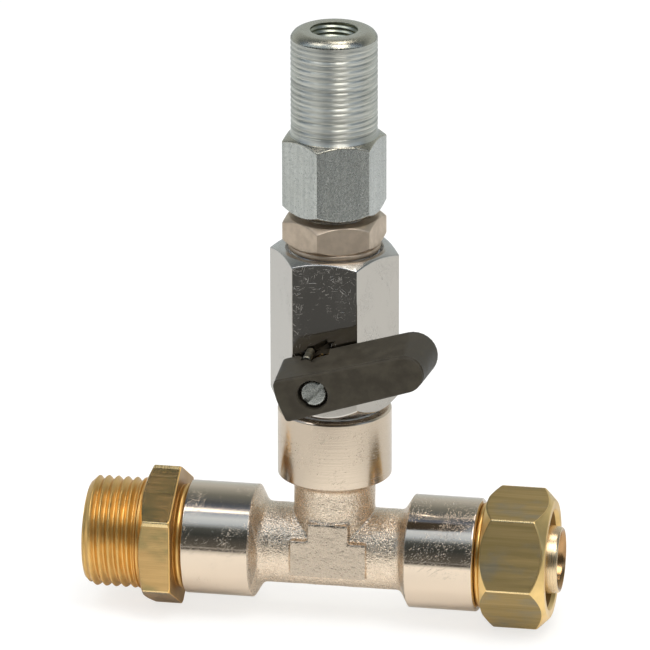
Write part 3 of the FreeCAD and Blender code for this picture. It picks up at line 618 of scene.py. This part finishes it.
# ---------------------------------------------------------------- run pieces
def inlet_nipple():
    """Outer thread, undercut, hexagon, collar and the end inside the tee."""
    hex_low, hex_high = INLET_HEX
    collar_end = TEE_X - RUN_REACH
    tail = collar_end + SCREW_IN
    corner = HEX_CORNER["inlet"]

    def outline(turn, radius):
        return eased([
            # Look 2, the bore's dark brass from its mouth to the end inside the tee, is painted shade.
            (INLET_START, 5.9, 0.1, 2), (INLET_START, 9.3, 0.15, 0),
            *thread(INLET_START + 0.02, 0.0, G12_MALE_R, 0.78, G12_PITCH, turn, 0, per_pitch=16,
                    start_cone=1.15, end_fade=0.7),
            (0.12, UNDERCUT_R, 0.1, 0), (hex_low - 0.02, UNDERCUT_R, 0.1, 0),
            # Look 3 on the corners is partly burnish, partly a painted highlight line.
            *hex_band(hex_low, hex_high, (11.2, 1.28, corner), (13.5, 0.25, corner), radius, (0, 1, 3)),
            # Look 4, the hexagon's face towards the tee, is painted shade.
            (hex_high, min(13.4, radius - 0.1), 0, 4), (hex_high, 9.55, 0.05, 0),
            (hex_high + 0.25, COLLAR_EDGE_R, 0.2, 0), (hex_high + 0.75, COLLAR_R, 0.35, 0),
            (collar_end - 0.02, COLLAR_EDGE_R, 0.1, 0), (collar_end - 0.02, G38_MALE_R, 0, 0),
            (tail, G38_MALE_R, 0, 0), (tail, TEE_BORE_R, 0, 2), (INLET_START + 0.4, TEE_BORE_R, 0.1, 2)])

    piece = lathe("inlet_nipple_piece", RUN, hex_columns(HEX_AF["inlet"], math.pi / 2), outline)
    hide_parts("inlet_nipple")
    finish_mesh(piece, [INLET_BRASS, INLET_FLATS, BRASS_BORE_SHADE, BURNISHED_HIGHLIGHT, HEX_SIDE_SHADE], "pipework")


def coupling_body():
    """End inside the tee, collar, thread under the nut, and the tapered nozzle for the hose."""
    collar = TEE_X + RUN_REACH
    collar_face = collar + COLLAR_WIDTH
    thread_end = collar_face + 6.0
    tail = collar - SCREW_IN

    def outline(turn, _):
        return eased([
            # Look 1, the end inside the tee, is the bore's dark brass: painted shade.
            (tail, NOZZLE_BORE_R, 0, 3), (tail, G38_MALE_R, 0, 1),
            (collar + 0.02, G38_MALE_R, 0, 0), (collar + 0.02, COLLAR_EDGE_R, 0.2, 0),
            (collar + 0.55, COLLAR_R, 0.3, 0),
            (collar_face, COLLAR_EDGE_R, 0.1, 0), (collar_face, 9.2, 0, 0),
            *thread(collar_face + 0.3, thread_end, COUPLING_THREAD_R, 0.8, NUT_PITCH, turn, 0,
                    end_fade=0.4),
            (thread_end, NOZZLE_R, 0.3, 2), (thread_end + 4.0, NOZZLE_R, 0.6, 2),
            (NOZZLE_TIP - 0.4, NOZZLE_TIP_R, 0.3, 2), (NOZZLE_TIP, 6.0, 0.12, 2),
            # From the tip inwards, look 3 is the nozzle's darker brass: painted shade.
            (NOZZLE_TIP, 5.7, 0.1, 3), (NOZZLE_TIP - 0.5, 5.3, 0.15, 3),
            (NOZZLE_TIP - 2.5, 4.85, 0.3, 3)])

    piece = lathe("coupling_piece", RUN, round_columns(), outline)
    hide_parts("coupling_body")
    finish_mesh(piece, [BRASS, BRASS_BORE_SHADE, NOZZLE_BRASS, NOZZLE_BORE], "pipework")


def hose_nut():
    """Threaded from behind, with a bevelled mouth for the hose."""
    corner = HEX_CORNER["nut"]

    def outline(turn, radius):
        return eased([
            (NUT_START, 9.95, 0.1, 0),
            # Look 3 on the corners is partly burnish, partly a painted highlight line.
            *hex_band(NUT_START, NUT_END, (11.3, 1.98, corner), (10.95, 2.33, corner), radius, (0, 1, 3)),
            # From 0.8 behind the mouth inwards, look 2 is the bore's dark brass: painted shade in the mouth
            # and on the thread.
            (NUT_END, 9.5, 0.2, 0), (NUT_END - 0.8, 9.2, 0, 2), (NUT_END - 2.0, 8.75, 0.3, 2),
            (NUT_END - 3.4, NUT_THREAD_R, 0.2, 2),
            *thread(NUT_END - 3.6, NUT_START + 0.3, NUT_THREAD_R, 0.15, NUT_PITCH, turn, 2, inside=True,
                    per_pitch=8)])

    columns = hex_columns(HEX_AF["nut"], NUT_TURN, corner_radius=0.5)
    piece = lathe("hose_nut_piece", RUN, columns, outline)
    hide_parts("hose_nut")
    finish_mesh(piece, [NUT_GOLD, NUT_FLATS, BRASS_BORE_SHADE, BURNISHED_HIGHLIGHT], "hose_nut")


# ---------------------------------------------------------------- tee
def tee_arms():
    """Line, reach and start of the socket of each arm."""
    centre = (TEE_X, 0, 0)
    return {"inlet": (Line(centre, (-1, 0, 0), (0, 0, 1)), RUN_REACH, RUN_SOCKET),
            "outlet": (Line(centre, (1, 0, 0), (0, 0, 1)), RUN_REACH, RUN_SOCKET),
            "branch": (BRANCH, BRANCH_REACH, BRANCH_SOCKET)}


def tee_sockets():
    """Turned sockets, tapped from their open ends."""
    for name, (line, reach, start) in tee_arms().items():
        def outline(_turn, _radius):
            return eased([
                (start, TEE_BORE_R, 0, 0), (start, TEE_SOCKET_R, 0.12, 0),
                (reach - 0.35, TEE_SOCKET_R, 0.15, 0), (reach, TEE_SOCKET_R - 0.35, 0.15, 0),
                (reach, TEE_TAP_R + 0.5, 0.1, 1), (reach - 0.6, TEE_TAP_R, 0.1, 1),
                (reach - TAP_DEPTH, TEE_TAP_R, 0, 1), (reach - TAP_DEPTH, TEE_BORE_R, 0, 1)])

        piece = lathe("tee_socket_" + name, line, round_columns(), outline)
        look = POLISHED_BRANCH if name == "branch" else POLISHED_RUN
        finish_mesh(piece, [look, CHROME_TURNED], "pipework")


def tee_forging():
    """Necks, cones and the raised pad, melted together as a forging is, then given its sandy skin."""
    parts = []
    for line, _reach, start in tee_arms().values():
        def arm(_turn, _radius):
            return eased([(-2.0, 0, 0, 0), (-2.0, TEE_NECK_R, 0, 0),
                          (start - CONE_LENGTH, TEE_NECK_R, 0.9, 0),
                          (start - 0.02, TEE_SOCKET_R - 0.04, 0, 0),
                          (start + 0.3, TEE_SOCKET_R - 0.3, 0, 0), (start + 0.3, 0, 0, 0)], steps=5)

        parts.append(lathe("arm", line, round_columns(160), arm))
    bar, stem = PAD_BAR, PAD_STEM
    parts.append(block("bar", (TEE_X - bar[0], -PAD_FACE, -bar[1]), (TEE_X + bar[0], -1, bar[1])))
    parts.append(block("stem", (TEE_X - stem[0], -PAD_FACE, -bar[1]), (TEE_X + stem[0], -1, stem[1])))
    body = parts[0]
    combine("UNION", body, *parts[1:])
    remesh = body.modifiers.new("melt", "REMESH")
    remesh.mode = "VOXEL"
    remesh.voxel_size = FORGING_VOXEL * MM
    settle(body)
    soften_pad(body)
    roughen(body)
    bores = [rod("bore", line, -3.0, start + 1, TEE_BORE_R) for line, _, start in tee_arms().values()]
    combine("DIFFERENCE", body, *bores)
    body.name = "tee_forging"
    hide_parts("tee_body")
    finish_mesh(body, [FORGED], "pipework", sharp=50)


def soften_pad(piece):
    """Rounds the raised pad's edges, as a forging die leaves them."""
    depth, half_width, bottom, top = PAD_ZONE
    pad = piece.vertex_groups.new(name="pad")
    near = [v.index for v in piece.data.vertices
            if v.co.y / MM < -depth and abs(v.co.x / MM - TEE_X) < half_width and bottom < v.co.z / MM < top]
    pad.add(near, 1.0, "REPLACE")
    modifier = piece.modifiers.new("soften", "SMOOTH")
    modifier.vertex_group = "pad"
    modifier.factor = 0.5
    modifier.iterations = 8
    settle(piece)
    piece.vertex_groups.clear()


def roughen(piece):
    """Uneven forged skin in the mesh itself, faded out where the turned sockets begin."""
    normals = [vertex.normal.copy() for vertex in piece.data.vertices]
    for vertex, normal in zip(piece.data.vertices, normals):
        spot = vertex.co / MM
        to_socket = min(RUN_SOCKET - abs(spot.x - TEE_X), BRANCH_SOCKET - spot.z)
        fade = smooth((to_socket - 0.3) / 1.5)
        sandy = noise.noise(spot * 2.1) * 0.035 + noise.noise(spot * 0.5) * 0.05
        vertex.co += normal * (sandy - 0.03) * fade * MM


# ---------------------------------------------------------------- valve and what stands on it
def valve_body():
    """End inside the tee, hexagon tapped from above, and the stem's hole through its front flat."""
    corner = HEX_CORNER["valve"]
    foot = BRANCH_REACH - VALVE_SCREW_IN
    tap_floor = HEX_TOP - VALVE_TAP_DEPTH

    def outline(turn, radius):
        return eased([
            (foot, VALVE_PASSAGE_R, 0, 1), (foot, 7.2, 0, 1),
            *thread(foot + 0.02, VALVE_FOOT - 0.02, G38_MALE_R, 0.75, G38_PITCH, turn, 1, per_pitch=8,
                    start_cone=0.9, end_fade=0.3),
            *hex_band(VALVE_FOOT, HEX_TOP, (10.4, 1.75, corner), (10.1, 1.05, corner), radius, (1, 0)),
            (HEX_TOP, 9.15, 0.1, 1), (HEX_TOP - 0.82, VALVE_TAP_R, 0.1, 1),
            (tap_floor, VALVE_TAP_R, 0, 1), (tap_floor, VALVE_PASSAGE_R, 0, 1)])

    columns = hex_columns(HEX_AF["valve"], corner_radius=0.25)
    piece = lathe("valve_body_piece", BRANCH, columns, outline)
    combine("DIFFERENCE", piece, rod("hole", STEM, 5.0, 12.0, STEM_HOLE_R))
    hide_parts("valve_body")
    finish_mesh(piece, [CHROME, CHROME_TURNED], "pipework", sharp=50)


def hex_nipple():
    """Lower end inside the valve, thin hexagon, and upper end inside the adapter."""
    corner = HEX_CORNER["upper"]
    face = HEX_AF["upper"] / 2 - 0.1
    low, high = NIPPLE_HEX

    def outline(turn, radius):
        return eased([
            (NIPPLE_END, NIPPLE_PASSAGE_R, 0, 1), (NIPPLE_END, 7.2, 0, 1),
            *thread(NIPPLE_END + 0.02, low - 1.3, 8.3, 0.8, G38_PITCH, turn, 1, per_pitch=8,
                    start_cone=0.9),
            (low - 0.95, 8.58, 0.2, 0), (low - 0.15, 8.58, 0.1, 0), (low - 0.02, 8.3, 0.05, 0),
            *hex_band(low, high, (face, 1.0, corner), (face, 1.0, corner), radius, (0, 0), ease=0.16),
            (high, 6.1, 0.1, 1),
            *thread(high + 0.1, NIPPLE_TOP, G14_MALE_R, 0.75, G14_PITCH, turn, 1, per_pitch=8),
            (NIPPLE_TOP, NIPPLE_PASSAGE_R, 0, 1)])

    columns = hex_columns(HEX_AF["upper"], UPPER_TURN, corner_radius=0.25)
    piece = lathe("hex_nipple_piece", BRANCH, columns, outline)
    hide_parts("hex_nipple")
    finish_mesh(piece, [SATIN_NICKEL, CHROME_TURNED], "pipework")


def top_adapter():
    """Hexagonal foot tapped from below, outer thread, and the threaded port in its top."""
    corner = HEX_CORNER["upper"]
    hex_top, port = ADAPTER_HEX_TOP, ADAPTER_TOP

    def outline(turn, radius):
        return eased([
            (ADAPTER_FOOT, 7.0, 0.3, 0),
            *hex_band(ADAPTER_FOOT, hex_top, (8.3, 1.15, corner), (8.3, 0.95, corner), radius, (0, 1),
                      ease=0.2),
            (hex_top + 0.1, 8.25, 0.15, 3), (hex_top + 0.6, TOP_THREAD_R, 0.4, 3),
            (hex_top + 1.1, 7.98, 0.1, 3),
            *thread(hex_top + 1.2, port - 1.6, TOP_THREAD_R, 0.17, TOP_PITCH, turn, 3, per_pitch=14,
                    end_fade=0.8, roughness=0.9, groove_share=0.75),
            (port - 1.3, 7.98, 0.3, 0), (port - 0.5, 7.45, 0.6, 0),
            (port, 6.4, 0.4, 0), (port, 4.4, 0.08, 4),
            *thread(port - 0.4, port - 10.5, G18_TAP_R, 0.35, G18_PITCH, turn, 4, per_pitch=10,
                    inside=True),
            (port - 11.0, ADAPTER_PASSAGE_R, 0, 2), (ADAPTER_TAP_END, ADAPTER_PASSAGE_R, 0, 2),
            (ADAPTER_TAP_END, ADAPTER_TAP_R, 0, 2), (ADAPTER_FOOT + 0.5, ADAPTER_TAP_R, 0, 2)])

    columns = hex_columns(HEX_AF["upper"], UPPER_TURN, corner_radius=0.3)
    piece = lathe("top_adapter_piece", BRANCH, columns, outline)
    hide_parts("top_adapter")
    finish_mesh(piece, [ZINC, ZINC_FLATS, CHROME_TURNED, ZINC_THREAD, ZINC_BORE], "pipework")


# ---------------------------------------------------------------- lever and screw
def lever_ring(distance, half, tip, tail, inset, count=14):
    """Outline of the level lever at a distance from the valve's axis: round end, bulging tail."""
    half, tip, tail = half - inset, tip - inset, tail - inset
    taper = math.asin((half - tip) / (LEVER_ARM + tail))
    outline = []
    for k in range(count + 1):
        swing = -math.pi / 2 + taper + (math.pi - 2 * taper) * k / count
        outline.append((LEVER_ARM + tip * math.cos(swing), tip * math.sin(swing), 0, 0))
    outline += [(0.3 - tail, half, 0.9, 0), (-tail, 0.8, 2.6, 0), (0.7 - tail, -half, 0.7, 0)]
    return [Vector((TEE_X + x, -distance, STEM_Z + z)) * MM for x, z, _ in eased(outline, steps=5)]


def lever_levels():
    """Distance and inset of each ring, from the rounded back edge to the front face."""
    levels = [(LEVER_BACK, 0.25), (LEVER_BACK + 0.08, 0.06), (LEVER_BACK + 0.3, 0.0)]
    side = LEVER_FRONT - LEVER_BACK - 1.1 - LEVER_EDGE
    levels += [(LEVER_BACK + 0.3 + side * k / 5, 0.0) for k in range(1, 6)]
    levels += [(LEVER_FRONT - LEVER_EDGE - gap, inset) for gap, inset in LEVER_CREASE]
    for k in range(1, 5):
        swing = math.pi / 2 * k / 4
        distance = LEVER_FRONT - LEVER_EDGE * (1 - math.sin(swing))
        levels.append((distance, LEVER_EDGE * (1 - math.cos(swing))))
    return levels


def lever():
    """Rings joined from back to front, then recessed for the screw, hollowed, and turned to its angle."""
    bm = bmesh.new()
    rings = []
    for distance, inset in lever_levels():
        share = (distance - LEVER_BACK) / (LEVER_FRONT - LEVER_BACK)
        sizes = [back + (front - back) * share for back, front in zip(LEVER_BACK_FACE, LEVER_FRONT_FACE)]
        rings.append([bm.verts.new(point) for point in lever_ring(distance, *sizes, inset)])
    for lower, upper in zip(rings, rings[1:]):
        bridge(bm, lower, upper)
    bm.faces.new(rings[0])
    bm.faces.new(rings[-1])
    piece = object_from("lever_piece", bm)
    recess = lathe("recess", STEM, round_columns(64), lambda _turn, _radius: eased([
        (SCREW_SEAT, 0, 0, 0), (SCREW_SEAT, RECESS_R, 0, 0), (LEVER_FRONT - 0.25, RECESS_R, 0.1, 0),
        (LEVER_FRONT + 0.1, RECESS_R + 0.25, 0, 0), (LEVER_FRONT + 0.1, 0, 0, 0)]))
    combine("DIFFERENCE", piece, recess, *lever_hollows())
    turn_about_stem(piece, LEVER_ANGLE)
    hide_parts("lever")
    finish_mesh(piece, [PLASTIC], "lever", sharp=40)


def lever_hollows():
    """Hollow of the arm, the stem's hole and the stop pin's groove with its notch, all open to the back."""
    back, floor = LEVER_BACK - 0.5, LEVER_FRONT - LEVER_WALL
    middle = (HOLLOW_START + LEVER_ARM) / 2
    hollows = []
    for low, high in ((HOLLOW_START, middle - RIB_HALF), (middle + RIB_HALF, LEVER_ARM)):
        hollows.append(block("hollow", (TEE_X + low, -floor, STEM_Z - HOLLOW_HALF),
                             (TEE_X + high, -back, STEM_Z + HOLLOW_HALF)))
    tip = Line((TEE_X + LEVER_ARM, 0, STEM_Z), STEM.axis, STEM.side)
    hollows.append(rod("hollow", tip, back, floor, HOLLOW_HALF, 48))
    hollows.append(rod("hole", STEM, back, HUB_FLOOR, HUB_R, 48))
    first, last = GROOVE_SECTOR
    turns = [math.radians(first + (last - first) * k / 16) for k in range(17)]
    inner, outer = GROOVE_R
    sector = [(outer * math.cos(a), outer * math.sin(a)) for a in turns]
    sector += [(inner * math.cos(a), inner * math.sin(a)) for a in reversed(turns)]
    hollows.append(prism("groove", [(TEE_X + x, -back, STEM_Z + z) for x, z in sector],
                         (0, back - LEVER_BACK - GROOVE_DEPTH, 0)))
    left, right, apex = STOP_NOTCH
    widen = (right - apex[0]) / apex[1] * (LEVER_BACK - back)
    notch = [(left - widen, back), (right + widen, back), (apex[0], LEVER_BACK + apex[1])]
    notch = [(TEE_X + x, -y, STEM_Z + inner) for x, y in notch]
    hollows.append(prism("notch", notch, (0, 0, NOTCH_HEIGHT)))
    return hollows


def turn_about_stem(piece, angle):
    """Turns a mesh about the stem's axis."""
    centre = Matrix.Translation(STEM.origin * MM)
    piece.data.transform(centre @ Matrix.Rotation(angle, 4, STEM.axis) @ centre.inverted())


def lever_screw():
    """Slotted cheese-head screw."""
    def outline(_turn, _radius):
        return eased([
            (SCREW_TIP, 0, 0, 0), (SCREW_TIP, 1.2, 0, 0),
            (SCREW_TIP + 0.3, SCREW_SHANK_R, 0, 0), (SCREW_SEAT, SCREW_SHANK_R, 0, 0),
            (SCREW_SEAT, SCREW_HEAD_R, 0.05, 0), (SCREW_TOP - 0.25, SCREW_HEAD_R, 0.2, 0),
            (SCREW_TOP, SCREW_HEAD_R - 0.3, 0.25, 0), (SCREW_TOP, 0, 0, 0)])

    piece = lathe("lever_screw_piece", STEM, round_columns(96), outline)
    slot = block("slot", (TEE_X - 3, -SCREW_TOP - 0.5, STEM_Z - SLOT_HALF),
                 (TEE_X + 3, -SCREW_TOP + SLOT_DEPTH, STEM_Z + SLOT_HALF))
    combine("DIFFERENCE", piece, slot)
    turn_about_stem(piece, SCREW_TURN)
    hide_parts("lever_screw")
    finish_mesh(piece, [SCREW_ZINC], "lever", sharp=35)


# ---------------------------------------------------------------- CAD nodes that stay
def dress_cad_nodes():
    """Materials for the nodes that no piece replaces."""
    looks = {"clamp_ring": BRASS, "seat_retainer": BRASS, "valve_stem": BRASS, "valve_ball": CHROME,
             "stop_pin": ZINC_DULL, "retainer_o_ring": RUBBER, "stem_o_ring": RUBBER}
    for name, node in frame["nodes"].items():
        if node.hide_render:
            continue
        node.data.materials.clear()
        node.data.materials.append(looks.get(name, PTFE))


# ---------------------------------------------------------------- studio
CAMERA_AZIMUTH, CAMERA_ELEVATION = 10.354, 20.251       # degrees
CAMERA_DISTANCE, CAMERA_LENS = 1479.0, 443.0
CAMERA_TARGET = (TEE_X - 1.80, 0, 43.70)
CAMERA_ROLL = math.radians(-0.124)
LAMP_TARGET = (TEE_X, 0, 40.0)
ROOM = [        # degrees up from the camera's side, over the top, to the back
    (0, (0.14, 0.145, 0.145)), (25, (0.05, 0.06, 0.065)), (39, (0.09, 0.11, 0.12)),     # dark front
    (50, (0.62, 0.78, 1.0)), (61, (0.79, 0.97, 1.2)), (70, (0.45, 0.59, 0.82)),         # strip light
    (86, (0.12, 0.16, 0.25)), (96, (0.085, 0.11, 0.145)), (118, (0.21, 0.24, 0.245)),   # dim ceiling
    (150, (0.56, 0.61, 0.63)), (180, (0.62, 0.70, 0.72))]                               # pale backdrop


def direction(azimuth, elevation):
    """Unit vector from the part: degrees to the right of the lever side, and up from level."""
    a, e = math.radians(azimuth), math.radians(elevation)
    return Vector((math.sin(a) * math.cos(e), -math.cos(a) * math.cos(e), math.sin(e)))


def aim(made, location, away):
    """Places a camera or lamp and turns it to look against the direction away, with its top up."""
    made.location = location
    made.rotation_mode = "QUATERNION"
    made.rotation_quaternion = away.to_track_quat("Z", "Y")


def camera():
    """Long lens from the lever side, a little to the right and above."""
    data = bpy.data.cameras.new("camera")
    data.lens = CAMERA_LENS
    data.sensor_width = 36.0
    data.clip_start, data.clip_end = 0.05, 50.0
    made = add("camera", data)
    away = direction(CAMERA_AZIMUTH, CAMERA_ELEVATION)
    aim(made, (Vector(CAMERA_TARGET) + away * CAMERA_DISTANCE) * MM, away)
    made.rotation_quaternion = made.rotation_quaternion @ Quaternion((0, 0, 1), CAMERA_ROLL)
    bpy.context.scene.camera = made


def softbox(name, azimuth, elevation, distance, size, power, colour=(1, 1, 1), glossy=False):
    """Area lamp aimed at the part's middle, placed by direction as seen from the part, in metres."""
    data = bpy.data.lights.new(name, "AREA")
    data.shape = "RECTANGLE"
    data.size, data.size_y = size
    data.energy = power
    data.color = colour
    made = add(name, data)
    away = direction(azimuth, elevation)
    aim(made, Vector(LAMP_TARGET) * MM + away * distance, away)
    made.visible_glossy = glossy


def plane(name, centre, half_size, material):
    """Level stage piece, in metres."""
    bm = bmesh.new()
    signs = ((-1, -1), (1, -1), (1, 1), (-1, 1))
    corners = [Vector(centre) + Vector((a, b, 0)) * half_size for a, b in signs]
    bm.faces.new([bm.verts.new(corner) for corner in corners])
    mesh = bpy.data.meshes.new(name)
    bm.to_mesh(mesh)
    bm.free()
    mesh.materials.append(material)
    made = add(name, mesh)
    return made


def floor_white(colour, glow, share, metal_share):
    """Pale floor. Where it is looked at, part of its tone is a glow, which keeps its shadows light.

    Metal sees metal_share of that, and so more of the shadow.
    """
    look = Look("floor_white", Roughness=0.9, Specular_IOR_Level=0.0)
    seen = look.node("LightPath", {}, output="Is Camera Ray")
    in_metal = look.math("MULTIPLY", look.node("LightPath", {}, output="Is Glossy Ray"), metal_share)
    seen = look.math("MAXIMUM", seen, in_metal)
    seen = look.math("MAXIMUM", seen, look.node("LightPath", {}, output="Is Transmission Ray"))
    look.set("Base Color", look.blend(seen, colour, tuple(c * (1 - share) for c in colour)))
    look.set("Emission Color", (*glow, 1))
    look.set("Emission Strength", look.math("MULTIPLY", seen, share))
    return look.material


def floor_tone():
    """What metal sees of the floor, a painted reflection: white by the part, greyer further out, and dark in
    front.
    """
    material = bpy.data.materials.new("floor_tone")
    material.use_nodes = True
    graph = Graph(material.node_tree)
    graph.tree.nodes.remove(graph.tree.nodes["Principled BSDF"])
    spot = graph.node("TexCoord", {}, output="Object")
    x, y = graph.part(spot, 0), graph.part(spot, 1)
    flat = graph.node("CombineXYZ", {0: x, 1: y})
    from_run = graph.node("VectorMath", {0: flat, 1: (TEE_X * MM + 0.01, -0.035, 0.0)}, output="Value",
                          operation="DISTANCE")
    near = graph.span(from_run, 0.04, 0.088, 1.0, 0.65)
    grey = graph.math("ADD", near, graph.span(from_run, 0.105, 0.16, 0.0, 0.1))
    ahead = graph.span(y, -0.165, -0.112, 1.0, 0.0)
    aside = graph.math("ABSOLUTE", graph.math("SUBTRACT", x, TEE_X * MM + 0.05))
    dark = graph.math("MULTIPLY", ahead, graph.span(aside, 0.13, 0.25, 1.0, 0.0))
    keep = graph.node("MapRange", {0: dark, 1: 0.0, 2: 1.0, 3: 1.0, 4: 0.11})
    tone = graph.math("MULTIPLY", grey, keep)
    colour = graph.node("CombineColor", {0: tone, 1: tone, 2: tone})
    surface = graph.node("BsdfTransparent", {"Color": colour})
    graph.connect(graph.tree.nodes["Material Output"].inputs["Surface"], surface)
    return material


def studio_world():
    """Room seen in the metal, by angle from the camera's side over the top to the back."""
    world = bpy.data.worlds.new("studio_world")
    bpy.context.scene.world = world
    world.use_nodes = True
    graph = Graph(world.node_tree)
    ray = graph.node("TexCoord", {})
    front = graph.math("MULTIPLY", graph.part(ray, 1), -1.0)
    angle = graph.math("ARCTAN2", graph.part(ray, 2), front)
    ramp = graph.tree.nodes.new("ShaderNodeValToRGB")
    graph.connect(ramp.inputs[0], graph.math("DIVIDE", angle, math.pi))
    elements = ramp.color_ramp.elements
    while len(elements) < len(ROOM):
        elements.new(0.5)
    for element, (degrees, colour) in zip(elements, ROOM):
        element.position = degrees / 180
        element.color = (*colour, 1)
    graph.connect(graph.tree.nodes["Background"].inputs["Color"], ramp.outputs["Color"])


def studio():
    floor_z = min(extent("inlet_nipple")[0].z, extent("hose_nut")[0].z) * MM
    white = floor_white((0.965, 0.96, 0.94), (1.12, 1.10, 1.07), 0.65, 0.1)
    plane("floor", (TEE_X * MM, 0, floor_z - 0.0001), 4, white)
    # This plane is seen only in reflections: it paints the floor darker there, a painted reflection.
    filter_plane = plane("floor_tone", (0, 0, floor_z + 0.00005), 1.5, floor_tone())
    for ray in ("camera", "diffuse", "shadow", "transmission"):
        setattr(filter_plane, "visible_" + ray, False)
    softbox("ceiling", 0, 80, 1.2, (1.2, 1.2), 4.5)
    softbox("left", -70, 35, 1.1, (0.8, 0.8), 1.7)
    softbox("right", 80, 35, 1.1, (0.8, 0.8), 2.2)
    softbox("front", 10, 25, 1.2, (0.8, 0.5), 3.4)
    softbox("key", 33, 60, 1.0, (0.38, 0.5), 3.2, (1.0, 0.97, 0.92), glossy=True)
    softbox("fill", -62, 62, 1.0, (0.3, 0.45), 1.1, (1.0, 0.98, 0.94), glossy=True)
    softbox("top", 158, 77, 1.0, (0.3, 0.3), 1.3, (1.0, 0.98, 0.94), glossy=True)
    studio_world()
    bpy.context.scene.view_settings.view_transform = "Standard"


inlet_nipple()
coupling_body()
hose_nut()
tee_sockets()
tee_forging()
valve_body()
hex_nipple()
top_adapter()
lever()
lever_screw()
dress_cad_nodes()
camera()
studio()
